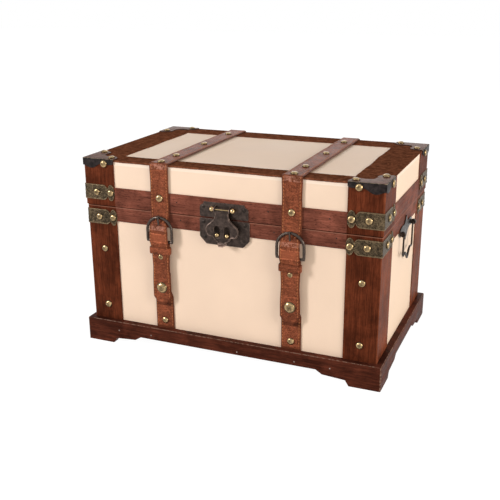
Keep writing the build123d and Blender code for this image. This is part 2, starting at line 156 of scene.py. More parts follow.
class BoxColours(bpy.types.PropertyGroup):
    """Colours that a user may change."""

    cream: colour_property("Cream", "Leatherette on the walls and lid", 243, 217, 196)
    post: colour_property("Corner posts", "Dark stain on the corner posts", 90, 43, 26)
    plinth: colour_property("Plinth", "Dark stain on the plinth", 77, 38, 27)
    band: colour_property("Rim bands", "Reddish stain on the rim bands", 118, 68, 55)
    strip: colour_property("Top strips", "Brown leatherette strips on the lid", 116, 70, 50)
    inside: colour_property("Inside", "Stain on the boards inside", 92, 54, 36)
    strap: colour_property("Straps", "Leather of the straps", 142, 78, 54)
    stitch: colour_property("Stitching", "Thread in the straps", 180, 110, 68)
    brass: colour_property("Antique brass", "Nails, snap caps and studs", 158, 134, 98)
    embossed: colour_property("Embossed brass", "Corner straps on the rim", 80, 67, 50)
    bronze: colour_property("Dark bronze", "Latch and hinges", 62, 51, 46)
    gunmetal: colour_property("Gunmetal", "Lid corner caps", 42, 36, 36)
    steel: colour_property("Buckle steel", "Buckle frames and prongs", 68, 59, 54)
    iron: colour_property("Black iron", "Side handles", 42, 33, 28)


# Node trees for the finishes


class Tree:
    """A node tree, with a short call for each node that the finishes and the stage share."""

    def __init__(self, owner):
        owner.use_nodes = True
        self.nodes = owner.node_tree.nodes
        self.links = owner.node_tree.links

    def put(self, socket, value):
        """Links a socket to a value's socket, or sets it."""
        if isinstance(value, bpy.types.NodeSocket):
            self.links.new(value, socket)
        else:
            socket.default_value = value

    def node(self, kind, **settings):
        made = self.nodes.new(kind)
        for key, value in settings.items():
            setattr(made, key, value)
        return made

    def math(self, operation, first, second=0.0):
        made = self.node("ShaderNodeMath", operation=operation)
        self.put(made.inputs[0], first)
        self.put(made.inputs[1], second)
        return made.outputs[0]

    def times(self, first, second):
        return self.math("MULTIPLY", first, second)

    def either(self, first, second):
        return self.math("MAXIMUM", first, second)


class Finish(Tree):
    """A material's node tree, with a short call for each texture and mark of the finishes."""

    def __init__(self, name):
        self.material = bpy.data.materials.new(name)
        super().__init__(self.material)
        self.shader = self.nodes["Principled BSDF"]

    def place(self):
        """Object coordinates, in metres."""
        return self.node("ShaderNodeTexCoord").outputs["Object"]

    def stretched(self, scale):
        """Object coordinates multiplied by a scale for each axis."""
        mapping = self.node("ShaderNodeMapping")
        self.put(mapping.inputs["Vector"], self.place())
        mapping.inputs["Scale"].default_value = scale
        return mapping.outputs["Vector"]

    def run(self, along, across):
        """Coordinates for grain that runs round the box: x + y is the way along any upright face."""
        split = self.node("ShaderNodeSeparateXYZ")
        self.put(split.inputs[0], self.place())
        total = self.math("ADD", split.outputs["X"], split.outputs["Y"])
        merged = self.node("ShaderNodeCombineXYZ")
        self.put(merged.inputs["X"], self.times(total, along))
        self.put(merged.inputs["Y"], self.times(split.outputs["Z"], across))
        return merged.outputs["Vector"]

    def noise(self, scale, detail=4.0, roughness=0.55, distortion=0.0, run=None):
        made = self.node("ShaderNodeTexNoise")
        self.put(made.inputs["Vector"], run or self.place())
        made.inputs["Scale"].default_value = scale
        made.inputs["Detail"].default_value = detail
        made.inputs["Roughness"].default_value = roughness
        made.inputs["Distortion"].default_value = distortion
        return made.outputs["Fac"]

    def cells(self, scale, feature="F1", run=None):
        made = self.node("ShaderNodeTexVoronoi", feature=feature)
        self.put(made.inputs["Vector"], run or self.place())
        made.inputs["Scale"].default_value = scale
        return made.outputs["Distance"]

    def ramp(self, factor, *stops):
        """A ramp through (position, colour or grey) stops."""
        made = self.node("ShaderNodeValToRGB")
        self.put(made.inputs["Fac"], factor)
        points = made.color_ramp.elements
        while len(points) < len(stops):
            points.new(1.0)
        for point, (position, colour) in zip(points, stops):
            point.position = position
            point.color = (*np.broadcast_to(colour, 3), 1.0)
        return made.outputs["Color"]

    def shades(self, factor, colour, dark, light, spread=0.12):
        """A colour in the middle of a noise's range, and a darker and a lighter one on either side."""
        stops = ((0.5 - spread, tinted(colour, dark)), (0.5, colour), (0.5 + spread, tinted(colour, light)))
        return self.ramp(factor, *stops)

    def mix(self, factor, first, second, blend="MIX"):
        made = self.node("ShaderNodeMix", data_type="RGBA", blend_type=blend)
        self.put(made.inputs["Factor"], factor)
        for socket, value in ((made.inputs["A"], first), (made.inputs["B"], second)):
            self.put(socket, value if isinstance(value, bpy.types.NodeSocket) else (*value, 1.0))
        return made.outputs["Result"]

    def by(self, first, second):
        """One colour multiplied by another."""
        return self.mix(1.0, first, second, "MULTIPLY")

    def marked(self, base, mask, share, colour):
        """A base colour with a share of another colour wherever a mask is 1."""
        return self.mix(self.times(mask, share), base, colour)

    def rim(self):
        """The piece's own rim attribute: 1 on an edge, 0 on a flat."""
        return self.node("ShaderNodeAttribute", attribute_name="rim").outputs["Fac"]

    def bump(self, height, distance, strength=1.0, under=None):
        made = self.node("ShaderNodeBump")
        self.put(made.inputs["Height"], height)
        made.inputs["Distance"].default_value = distance
        made.inputs["Strength"].default_value = strength
        if under is not None:
            self.links.new(under, made.inputs["Normal"])
        return made.outputs["Normal"]

    def line_of(self, axis, value, width):
        """1 where a coordinate, taken without sign from the box's middle, is within a width of a value."""
        split = self.node("ShaderNodeSeparateXYZ")
        self.put(split.inputs[0], self.place())
        middle = MID_Y if axis == "Y" else 0.0
        size = self.math("ABSOLUTE", self.math("SUBTRACT", split.outputs[axis], middle))
        away = self.math("ABSOLUTE", self.math("SUBTRACT", size, value))
        return self.math("LESS_THAN", away, width)

    def lines_of(self, *heights):
        """1 at any of some heights, each a (z, half width) pair in millimetres."""
        lines = [self.line_of("Z", z * MM, width * MM) for z, width in heights]
        return self.either(*lines) if len(lines) > 1 else lines[0]

    def done(self, colour, roughness, normal=None, metallic=0.0, coat=0.0, specular=0.5):
        """Fills the shader's sockets and returns the material."""
        self.put(self.shader.inputs["Base Color"], colour)
        self.put(self.shader.inputs["Roughness"], roughness)
        self.shader.inputs["Metallic"].default_value = metallic
        self.shader.inputs["Coat Weight"].default_value = coat
        self.shader.inputs["Specular IOR Level"].default_value = specular
        if normal is not None:
            self.links.new(normal, self.shader.inputs["Normal"])
        return self.material


def tinted(colour, factor):
    """A colour made lighter or darker."""
    return tuple(np.clip(np.array(colour) * factor, 0, 1))


def plinth_wear_and_highlight(made):
    """1 along the plinth's outer top edge and down its upright corners, broken into chips: partly rubbed wear
    and partly painted highlight.
    """
    top = made.line_of("Z", PLINTH_HIGH[2], 0.7 * MM)
    ends = made.line_of("X", PLINTH_HIGH[0], 1.0 * MM)
    sides = made.line_of("Y", PLINTH_HALF_Y, 1.0 * MM)
    rubbed = made.times(top, made.either(ends, sides))
    upright_x = made.line_of("X", PLINTH_HIGH[0], 1.3 * MM)
    upright_y = made.line_of("Y", PLINTH_HALF_Y, 1.3 * MM)
    chips = made.ramp(made.noise(240.0, 4.0, 0.7), (0.44, 0.15), (0.56, 1.0))
    return made.times(made.either(rubbed, made.times(upright_x, upright_y)), chips)


def wood_finish(name, colour, vertical, pores, contrast, wear_and_highlight=0.0, flat=False):
    """Stained wood: streaks, fine fibres and open pores along the grain; outer edges made lighter, partly
    rubbed wear and partly painted highlight; painted light on the end faces; a painted highlight and painted
    shade at the lid's seam.
    """
    made = Finish(name)
    along, across = (1.0, GRAIN_SQUEEZE) if vertical else (GRAIN_SQUEEZE, 1.0)
    if flat:
        streak_run = made.stretched((14.0, STREAK_SCALE, STREAK_SCALE))
        fibre_run = made.stretched((48.0, FIBRE_SCALE, FIBRE_SCALE))
    else:
        streak_run = made.run(along * STREAK_SCALE, across * STREAK_SCALE)
        fibre_run = made.run(along * FIBRE_SCALE, across * FIBRE_SCALE)
    streaks = made.noise(1.0, 6.0, 0.65, 0.5, streak_run)
    fibres = made.noise(1.0, 3.0, 0.65, run=fibre_run)
    tone = made.shades(streaks, colour, 1 - contrast, 1 + contrast, 0.14)
    fine = made.ramp(fibres, (0.38, 0.72), (0.6, 1.14))
    patches = made.ramp(made.noise(34.0, 4.0, 0.6, 0.4), (0.38, 0.72), (0.62, 1.3))
    toned = made.by(made.by(tone, fine), patches)
    pore_run = made.run(*(PORE_SCALES if vertical else PORE_SCALES[::-1]))
    dots = made.ramp(made.cells(0.55, run=pore_run), (0.12, 0.0), (0.3, 1.0))
    stained = made.mix(pores, toned, made.by(toned, dots))
    if wear_and_highlight:
        # Lighter plinth edges: partly rubbed wear, partly painted highlight
        stained = made.marked(stained, plinth_wear_and_highlight(made), wear_and_highlight, linear(140, 112, 98))
    if vertical:
        # Painted light: the end faces of the posts are made lighter
        painted_light_end_face = made.line_of("X", BODY_HIGH[0], 0.9 * MM)
        stained = made.marked(stained, painted_light_end_face, 0.5, made.by(stained, END_FACE_PAINTED_LIGHT))
    if not flat:
        # Painted highlight on the band's edge just under the lid's seam, and painted shade in the seam itself
        painted_highlight_edge = made.line_of("Z", RIM_Z - 1.3 * MM, 0.5 * MM)
        stained = made.marked(stained, painted_highlight_edge, 0.35, linear(176, 128, 108))
        stained = made.marked(stained, made.line_of("Z", RIM_Z, 0.6 * MM), 0.85, tinted(colour, 0.12))
    rough = made.ramp(streaks, (0.38, 0.36), (0.62, 0.52))
    normal = made.bump(made.math("ADD", fibres, dots), 0.14 * MM, 0.7)
    return made.done(stained, rough, normal, specular=0.02)


def leatherette_finish(name, colour, grain, roughness):
    """Coated cloth: an even colour, a fine pebbled grain and a painted highlight, a pale band just under the
    lid's top.
    """
    made = Finish(name)
    pebbles = made.cells(grain)
    cloud = made.noise(9.0, 3.0, 0.5)
    toned = made.ramp(cloud, (0.38, tinted(colour, 0.97)), (0.62, tinted(colour, 1.02)))
    speckled = made.mix(0.05, toned, made.by(toned, made.ramp(pebbles, (0.0, 0.6), (0.5, 1.0))))
    rough = made.ramp(cloud, (0.38, roughness - 0.05), (0.62, roughness + 0.05))
    # Painted highlight: a pale band just under the lid's top, where light catches the rounded edge below the
    # strips
    band = made.line_of("Z", LID_TOP - 4.4 * MM, 2.0 * MM)
    with_painted_highlight = made.marked(speckled, band, 0.5, linear(252, 236, 224))
    return made.done(with_painted_highlight, rough, made.bump(pebbles, 0.05 * MM, 0.5), specular=0.1)


def strip_finish(name, colour):
    """Brown leatherette strips: matte, mottled, with a fine grain and short creases."""
    made = Finish(name)
    pebbles = made.cells(900)
    creases = made.ramp(made.cells(260, "DISTANCE_TO_EDGE"), (0.0, 0.6), (0.1, 1.0))
    toned = made.shades(made.noise(150.0, 6.0, 0.7, 0.4), colour, 0.62, 1.45)
    creased = made.mix(0.7, toned, made.by(toned, creases))
    normal = made.bump(made.math("ADD", pebbles, creases), 0.08 * MM, 0.7)
    return made.done(creased, 0.75, normal, specular=0.0)


def strap_finish(name, colour):
    """Strap leather: a crackled surface, pale creases and folds where it bends, painted highlights at the top
    fold and under the buckle, a painted shadow under the tab's tip, and darker edges that are partly the
    leather's dark cut edge and partly painted shade.
    """
    made = Finish(name)
    mottle = made.noise(260.0, 6.0, 0.7, 0.6)
    wide = made.noise(40.0, 3.0, 0.6)
    crease_run = made.stretched((60.0, 420.0, 420.0))
    creases = made.ramp(made.noise(1.0, 3.0, 0.6, 0.8, crease_run), (0.56, 0.0), (0.62, 1.0))
    clouded = made.by(made.shades(mottle, colour, 0.7, 1.3), made.ramp(wide, (0.38, 0.78), (0.62, 1.28)))
    lines = made.ramp(made.cells(480, "DISTANCE_TO_EDGE"), (0.0, 0.3), (0.1, 1.0))
    hair = made.ramp(made.cells(1000, "DISTANCE_TO_EDGE"), (0.0, 0.6), (0.12, 1.0))
    cracked = made.by(made.by(clouded, lines), hair)
    leather = made.marked(cracked, creases, 0.3, tinted(colour, 2.0))
    leather = made.marked(leather, made.lines_of(*WARM_HEIGHTS), 0.5, tinted(colour, 1.35))
    folds = made.times(made.lines_of(*FOLD_HEIGHTS), made.ramp(mottle, (0.44, 0.15), (0.54, 1.0)))
    leather = made.marked(leather, folds, 0.55, tinted(colour, 3.0))
    # Painted highlight at the top fold and just under the buckle
    painted_highlight = made.times(made.lines_of(*HIGHLIGHT_HEIGHTS), made.ramp(mottle, (0.44, 0.0), (0.58, 1.0)))
    leather = made.marked(leather, painted_highlight, 0.5, linear(206, 152, 134))
    # Painted shadow: a dark band on the lower strap under the tab's tip
    painted_shadow = made.times(made.lines_of(*SHADOW_HEIGHTS), made.ramp(mottle, (0.42, 0.7), (0.58, 1.0)))
    leather = made.marked(leather, painted_shadow, 0.65, tinted(colour, 0.15))
    # Darker edges: partly the leather's dark cut edge, partly painted shade along the strips' contours and
    # the tab's tip
    leather = made.marked(leather, made.rim(), 0.75, tinted(colour, 0.28))
    height = made.math("ADD", made.times(lines, 1.5), hair)
    rough = made.ramp(mottle, (0.4, 0.3), (0.6, 0.46))
    return made.done(leather, rough, made.bump(height, 0.12 * MM, 0.8), specular=0.05)


def thread_finish(name, colour):
    """Waxed thread: fine twist lines in light and dark."""
    made = Finish(name)
    twist = made.noise(1.0, 2.0, run=made.stretched((2400.0, 2400.0, 900.0)))
    toned = made.ramp(twist, (0.38, tinted(colour, 0.6)), (0.62, tinted(colour, 1.2)))
    return made.done(toned, 0.6, made.bump(twist, 0.06 * MM, 0.8), specular=0.2)


def metal_finish(name, colour, roughness, worn_and_highlit, pitting, shine):
    """Aged metal: dark tarnish in patches and pits, brighter on the rim, partly rubbed wear and partly
    painted highlight along the edges.
    """
    made = Finish(name)
    patches = made.noise(240.0, 5.0, 0.65, 0.4)
    pits = made.cells(1100)
    toned = made.shades(patches, colour, 0.6, 1.5)
    pitted = made.mix(pitting, toned, made.by(toned, made.ramp(pits, (0.05, 0.5), (0.3, 1.0))))
    # Brighter rim: partly rubbed wear, partly painted highlight along the edges
    rub_and_highlight = made.times(made.rim(), made.ramp(patches, (0.4, 0.35), (0.55, 1.0)))
    rubbed = made.mix(rub_and_highlight, pitted, tinted(colour, worn_and_highlit))
    rough = made.ramp(patches, (0.38, roughness + 0.1), (0.62, roughness - 0.06))
    normal = made.bump(made.math("ADD", pits, patches), 0.09 * MM, 0.6)
    return made.done(rubbed, rough, normal, metallic=shine, specular=0.3)


def cap_finish(name, colour, top_colour):
    """Corner caps: gunmetal flanges, brown-lacquered tops and a bright line along the outer edges, partly
    rubbed wear and partly painted highlight.
    """
    made = Finish(name)
    patches = made.noise(200.0, 5.0, 0.65, 0.4)
    flange, top = made.shades(patches, colour, 0.5, 1.6), made.shades(patches, top_colour, 0.6, 1.4)
    both = made.mix(made.line_of("Z", CAP_HIGH[2], 0.2 * MM), flange, top)
    # A bright broken line along the outer top edges: partly rubbed wear, partly painted highlight
    ends, sides = made.line_of("X", CAP_HALF[0], 0.5 * MM), made.line_of("Y", CAP_HALF[1], 0.5 * MM)
    line = made.times(made.either(ends, sides), made.line_of("Z", CAP_HIGH[2], 0.5 * MM))
    cap_edge_wear_and_highlight = made.times(line, made.ramp(patches, (0.4, 0.5), (0.5, 1.0)))
    rubbed = made.mix(cap_edge_wear_and_highlight, both, linear(190, 172, 150))
    return made.done(rubbed, 0.45, made.bump(patches, 0.12 * MM, 0.6), metallic=0.1, specular=0.08)


def nail_finish(name, colour):
    """Domed brass heads: a painted dark reflection at the foot, a painted highlight on the shoulder and a
    browner crown, with small stains.
    """
    made = Finish(name)
    stains = made.noise(420.0, 4.0, 0.6)
    # Painted reflection and highlight: the head's tones follow its rise
    stops = [(rise, tinted(colour, factor)) for rise, factor in NAIL_REFLECTION_TONES]
    toned = made.by(made.ramp(made.rim(), *stops), made.ramp(stains, (0.4, 0.55), (0.58, 1.15)))
    rough = made.ramp(stains, (0.4, 0.3), (0.6, 0.17))
    return made.done(toned, rough, made.bump(stains, 0.06 * MM, 0.5), metallic=1.0)


def embossed_finish(name, colour):
    """Stamped brass: dark in the hollows, bright on the raised scrolls and rims."""
    made = Finish(name)
    lines = made.ramp(made.noise(260.0, 2.0, 0.4, 2.0), (0.42, 0.0), (0.47, 1.0), (0.52, 1.0), (0.57, 0.0))
    stains = made.ramp(made.noise(90.0, 4.0, 0.6), (0.4, 0.65), (0.6, 1.2))
    toned = made.by(made.mix(lines, tinted(colour, 0.5), tinted(colour, 1.55)), stains)
    rubbed = made.mix(made.rim(), toned, tinted(colour, 2.7))
    height = made.math("ADD", lines, made.times(made.cells(1500), 0.4))
    return made.done(rubbed, 0.4, made.bump(height, 0.28 * MM, 0.9), metallic=0.8, specular=0.3)


FINISHES = {
    "inner_wood": lambda c: wood_finish("inside_boards", c.inside, False, 0.5, 0.3),
    "inner_wood_flat": lambda c: wood_finish("flat_boards", c.inside, False, 0.0, 0.3, flat=True),
    "dark_stained_wood": lambda c: wood_finish("plinth_wood", c.plinth, False, 0.35, 0.32, 0.8),
    "corner_post_wood": lambda c: wood_finish("post_wood", c.post, True, 0.35, 0.3),
    "rim_band_wood": lambda c: wood_finish("band_wood", c.band, False, 0.9, 0.18),
    "top_strip_leatherette": lambda c: strip_finish("strip_leatherette", c.strip),
    "cream_leatherette": lambda c: leatherette_finish("cream_leatherette", c.cream, 1400, 0.5),
    "brown_strap_leather": lambda c: strap_finish("strap_leather", c.strap),
    "antique_brass": lambda c: nail_finish("nail_brass", c.brass),
    "embossed_brass": lambda c: embossed_finish("stamped_brass", c.embossed),
    "dark_bronze": lambda c: metal_finish("dark_bronze", c.bronze, 0.42, worn_and_highlit=9.0, pitting=0.6, shine=0.7),
    "dark_gunmetal": lambda c: cap_finish("cap_gunmetal", c.gunmetal, tinted(c.strip, 0.55)),
    "buckle_steel": lambda c: metal_finish("buckle_steel", c.steel, 0.3, worn_and_highlit=1.7, pitting=0.3, shine=0.9),
    "black_iron": lambda c: metal_finish("handle_iron", c.iron, 0.32, worn_and_highlit=2.2, pitting=0.3, shine=0.6),
}


def finish_for(slot):
    """The material of a slot, made on its first use."""
    name = slot + "_finish"
    if name not in bpy.data.materials:
        FINISHES[slot](bpy.context.scene.box_colours).name = name
    return bpy.data.materials[name]


# Shapes: each is (points, faces, rim), with the rim value of every point


def surface(points, wrap_rows=False, wrap_columns=False, capped=False, rim=None):
    """A rows x columns array of points as quads; wrapping closes it either way, caps close its end rows."""
    rows, columns = points.shape[:2]
    index = np.arange(rows * columns).reshape(rows, columns)
    if wrap_rows:
        index = np.vstack([index, index[:1]])
    if wrap_columns:
        index = np.hstack([index, index[:, :1]])
    corners = [index[:-1, :-1], index[1:, :-1], index[1:, 1:], index[:-1, 1:]]
    faces = np.stack(corners, -1).reshape(-1, 4).tolist()
    if capped:
        faces += [index[0, :columns].tolist()[::-1], index[-1, :columns].tolist()]
    values = np.zeros((rows, columns)) if rim is None else np.broadcast_to(rim, (rows, columns))
    return points.reshape(-1, 3), faces, values.reshape(-1)


def joined(shapes):
    """Several shapes as one."""
    points, faces, rims, start = [], [], [], 0
    for part_points, part_faces, part_rim in shapes:
        points.append(part_points)
        faces += [[corner + start for corner in face] for face in part_faces]
        rims.append(part_rim)
        start += len(part_points)
    return np.vstack(points), faces, np.concatenate(rims)


def moved(shape, change):
    """A shape with its points passed through a function."""
    return change(shape[0]), shape[1], shape[2]


def dulled(shape, value):
    """A shape with one rim value all over."""
    return shape[0], shape[1], np.full(len(shape[0]), value)


def mirrored(shape):
    """The same shape on the other end of the box."""
    return moved(shape, lambda points: points * np.array([-1, 1, 1]))


def on_face(face, origin):
    """A change from (across, up, out) values on a face to places, about an origin on that face."""
    turns = {
        "front": [(1, 0, 0), (0, 0, 1), (0, -1, 0)],
        "back": [(-1, 0, 0), (0, 0, 1), (0, 1, 0)],
        "left": [(0, -1, 0), (0, 0, 1), (-1, 0, 0)],
        "right": [(0, 1, 0), (0, 0, 1), (1, 0, 0)],
        "top": [(1, 0, 0), (0, 1, 0), (0, 0, 1)],
    }
    axes = np.array(turns[face], float)
    return lambda points: points @ axes + np.array(origin)


def build(name, shape, slot, body=None, replaced=(), crease=40.0):
    """Makes a piece's mesh, closes its seams, turns its faces outwards and hangs it on its body."""
    mesh = bpy.data.meshes.new(name)
    mesh.from_pydata(shape[0].tolist(), [], shape[1])
    mesh.attributes.new("rim", "FLOAT", "POINT").data.foreach_set("value", shape[2].astype(np.float32))
    work = bmesh.new()
    work.from_mesh(mesh)
    bmesh.ops.remove_doubles(work, verts=work.verts, dist=0.002 * MM)
    bmesh.ops.dissolve_degenerate(work, edges=work.edges, dist=0.001 * MM)
    bmesh.ops.recalc_face_normals(work, faces=work.faces)
    work.to_mesh(mesh)
    work.free()
    mesh.shade_smooth()
    mesh.set_sharp_from_angle(angle=np.radians(crease))
    piece = bpy.data.objects.new(name, mesh)
    bpy.context.scene.collection.objects.link(piece)
    mesh.materials.append(finish_for(slot))
    if body is not None:
        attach(piece, body)
    if replaced:
        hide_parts(*replaced)
    return piece


def spun(profile, steps=28):
    """A (radius, height) profile turned once round the out axis."""
    profile = np.array(profile, float)
    angle = np.linspace(0, 2 * np.pi, steps, endpoint=False)[:, None]
    radius = profile[:, 0][None, :]
    heights = np.broadcast_to(profile[:, 1], (steps, len(profile)))
    points = np.stack([radius * np.cos(angle), radius * np.sin(angle), heights], -1)
    rise = profile[:, 1] / max(profile[:, 1].max(), 1e-9)
    return surface(points, wrap_rows=True, rim=np.clip(rise, 0, 1)[None, :] ** 2)


def dome_profile(radius, height, lip=0.12, rows=9):
    """A shallow dome over a short upright lip: height follows a quarter ellipse."""
    angle = np.linspace(0, np.pi / 2, rows)
    bulge = np.stack([radius * np.cos(angle), height * (lip + (1 - lip) * np.sin(angle))], -1)
    foot = np.array([[0, 0], [radius * 0.97, 0]])
    return np.vstack([foot, bulge])


def points_of(*values):
    """Coordinates, each an array or one number, brought to one shape and stacked into points."""
    return np.stack(np.broadcast_arrays(*values), -1)


def unit(vectors):
    """Vectors brought to a length of 1."""
    return vectors / np.linalg.norm(vectors, axis=-1, keepdims=True)


def travel_of(line):
    """The way along a line from its start to each of its points."""
    return np.concatenate([[0], np.cumsum(np.linalg.norm(np.diff(line, axis=0), axis=1))])


def at_travel(samples, travel, values):
    """Pairs of values known along a line, read at other distances along it."""
    return np.stack([np.interp(samples, travel, values[:, axis]) for axis in range(2)], -1)


def rounded_line(points, bend, step):
    """A line of 2-D points with its corners turned into smooth curves, sampled about a step apart."""
    points = np.array(points, float)
    out = [points[:1]]
    share = np.linspace(0, 1, 7)[:, None]
    for before, corner, after in zip(points[:-2], points[1:-1], points[2:]):
        into = corner - before
        away = after - corner
        reach = min(bend, np.linalg.norm(into) * 0.49, np.linalg.norm(away) * 0.49)
        start = corner - into / np.linalg.norm(into) * reach
        end = corner + away / np.linalg.norm(away) * reach
        out.append((1 - share) ** 2 * start + 2 * share * (1 - share) * corner + share**2 * end)
    line = np.vstack(out + [points[-1:]])
    travel = travel_of(line)
    extra = np.linspace(0, travel[-1], max(int(travel[-1] / step), 4))
    samples = np.unique(np.round(np.concatenate([travel, extra]), 7))
    return at_travel(samples, travel, line)


def normals_of(line):
    """Unit normals to a 2-D line, a quarter turn from its direction."""
    tangent = unit(np.gradient(line, axis=0))
    return points_of(-tangent[:, 1], tangent[:, 0])


def oval_loop(columns, swell):
    """A flat oval section, there and back, as its (across, up) values: |across|^swell + |up|^2 = 1."""
    across = np.sin(np.linspace(-np.pi / 2, np.pi / 2, columns))
    lift = np.sqrt(np.clip(1 - np.abs(across) ** swell, 0, 1))
    return np.concatenate([across, across[-2:0:-1]])[None, :], np.concatenate([lift, -lift[-2:0:-1]])[None, :]


def strip(line, half, thick, middle, swell=12):
    """A leather strip along a (y, z) line, with a flat oval section."""
    across, lift = oval_loop(17, swell)
    half = np.broadcast_to(half, len(line))[:, None]
    out = normals_of(line)
    y = line[:, :1] + out[:, :1] * lift * thick / 2
    z = line[:, 1:] + out[:, 1:] * lift * thick / 2
    # Rim values that darken the edges and the end rows: partly the dark cut edge, partly painted shade along
    # the contour
    edge = np.abs(across) ** 6 * np.ones((len(line), 1))
    edge[:2], edge[-2:] = 1.0, 1.0
    return surface(points_of(middle + half * across, y, z), wrap_columns=True, capped=True, rim=edge)


def tube(line, radius, closed=False, flat=1.0, steps=12):
    """A round or oval bar along a 3-D line; flat squeezes it towards the line's own plane."""
    line = np.array(line, float)
    if closed:
        around = np.vstack([line[-1:], line, line[:1]])
        tangent = unit((around[2:] - around[:-2]) / 2)
    else:
        tangent = unit(np.gradient(line, axis=0))
    spread = np.linalg.svd(line - line.mean(0))[2]
    first = unit(np.cross(tangent, spread[2]))
    second = np.cross(tangent, first)
    angle = np.linspace(0, 2 * np.pi, steps, endpoint=False)[None, :, None]
    ring = first[:, None, :] * np.cos(angle) + second[:, None, :] * np.sin(angle) * flat
    points = line[:, None, :] + ring * np.broadcast_to(radius, len(line))[:, None, None]
    return surface(points, wrap_rows=closed, wrap_columns=True, capped=not closed, rim=0.4)


def plate(outlines, thick, bevel):
    """A flat metal plate inside closed outlines, holes among them, with rounded edges; it lies on z = 0."""
    flat = bpy.data.curves.new("outline", "CURVE")
    flat.dimensions = "2D"
    flat.fill_mode = "BOTH"
    flat.extrude = thick / 2 - bevel
    flat.bevel_depth = bevel
    flat.bevel_resolution = 2
    flat.offset = -bevel
    for outline in outlines:
        line = flat.splines.new("POLY")
        line.points.add(len(outline) - 1)
        line.points.foreach_set("co", np.pad(np.array(outline, float), ((0, 0), (0, 2))).reshape(-1))
        line.use_cyclic_u = True
    holder = bpy.data.objects.new("outline", flat)
    mesh = bpy.data.meshes.new_from_object(holder)
    points = np.empty(len(mesh.vertices) * 3, np.float32)
    mesh.vertices.foreach_get("co", points)
    points = points.reshape(-1, 3).astype(float) + np.array([0, 0, thick / 2])
    faces = [list(face.vertices) for face in mesh.polygons]
    rim = (points[:, 2] < thick - 0.3 * bevel) * 0.45
    bpy.data.objects.remove(holder)
    bpy.data.curves.remove(flat)
    bpy.data.meshes.remove(mesh)
    return points, faces, rim


def circle(radius, x=0.0, y=0.0, steps=24, start=0, end=360):
    """Points round a circle, or an arc of it between two angles in degrees."""
    angle = np.radians(np.linspace(start, end, steps, endpoint=abs(end - start) < 360))
    return np.stack([x + radius * np.cos(angle), y + radius * np.sin(angle)], -1)


def both_sides(points):
    """A half outline from top to bottom at +x, closed by its mirror image."""
    points = np.array(points, float)
    return np.vstack([points, (points * np.array([-1, 1]))[::-1]])


# Leather straps, with places and lengths in millimetres
STRAP_DROP = [(0.0, 190.0), (-0.5, 184.0), (-1.5, 178.5), (-2.0, 174.0), (-4.2, 170.2), (-6.7, 165.5)]
STRAP_DROP += [(-7.4, 160.0), (-7.4, 152.0), (-6.7, 146.0), (-5.1, 140.5), (-5.0, 132.2)]
PRONG_ROUTE = [(0, 164), (-1.2, 168), (-2.9, 174), (-2.9, 180)]
NECK_LOW_Z, NECK_HIGH_Z, NECK_IN, NECK_FADE = 166.0, 171.6, 5.2, 2.6
KEEPER_Z, KEEPER_IN, KEEPER_FADE = 136, 0.7, 6
WAIST_RISE, WAIST_IN, WAIST_FADE = 47, 1.0, 14
TIP_RISE, TIP_CUT = 8.5, 8.0
BACKING_HIGH_Z, BACKING_LOW_Z = 188, 173.2
COVERED_Z, COVERED_RISE, COVERED_IN = 74, 7, 3.0

# Shapes of the keeper, buckle and edging
KEEPER_WALL, KEEPER_SQUARENESS = 1.3 * MM, 0.22
BUCKLE_BAR = 1.75 * MM
EDGING_THICK = 0.8 * MM
EDGING_WIDTHS = (26.6 * MM, 33.6 * MM)
RAGGED_PITCH = 9


def swelling(value, middle, width):
    """A bell curve: 1 at its middle, falling away over a width."""
    return np.exp(-(((value - middle) / width) ** 2))


def strap_line():
    """The strap's (y, z) line: up the back, over the lid, down the front and through the buckle."""
    thick = bpy.context.scene.box_sizes.strap_thickness
    front = MID_Y - LID_HALF[1] - thick / 2
    back = MID_Y + LID_HALF[1] + thick / 2
    top = LID_TOP + thick / 2
    lower = [(front + y * MM, z * MM) for y, z in STRAP_DROP]
    return rounded_line([(back, STRAP_LOW[2]), (back, top), (front, top)] + lower, 1.6 * MM, 2.0 * MM)


def strap_half(line):
    """Half the strap's width along its line: it draws in where it passes under the buckle's crown."""
    height = line[:, 1] / MM
    in_front = line[:, 0] < MID_Y
    share = np.clip((height - NECK_LOW_Z) / (NECK_HIGH_Z - NECK_LOW_Z), 0, 1)
    below = NECK_IN * (1 - np.sqrt(np.clip(1 - share**2, 0, 1)))
    neck = np.where(height < NECK_HIGH_Z, below, NECK_IN * swelling(height, NECK_HIGH_Z, NECK_FADE))
    in_keeper = KEEPER_IN * swelling(height, KEEPER_Z, KEEPER_FADE)
    wander = 0.25 * MM * np.sin(line[:, 0] * 95 + line[:, 1] * 130)
    return STRAP_HALF - (neck + in_keeper) * MM * in_front - 0.2 * MM + wander


def backing_line():
    """The strap's own end behind the buckle's crown, flat on the rim band."""
    front = MID_Y - LID_HALF[1] - bpy.context.scene.box_sizes.strap_thickness / 2
    heights = np.linspace(BACKING_HIGH_Z * MM, BACKING_LOW_Z * MM, 12)
    return points_of(np.linspace(front, front - 0.2 * MM, 12), heights)


def crumpled(line, size):
    """Small waves across a leather strip, as lengths to push its line outwards."""
    travel = travel_of(line) / MM
    waves = sum(np.sin(travel * pitch + start) * share for pitch, start, share in CRUMPLE_WAVES)
    return normals_of(line) * (waves * size)[:, None]


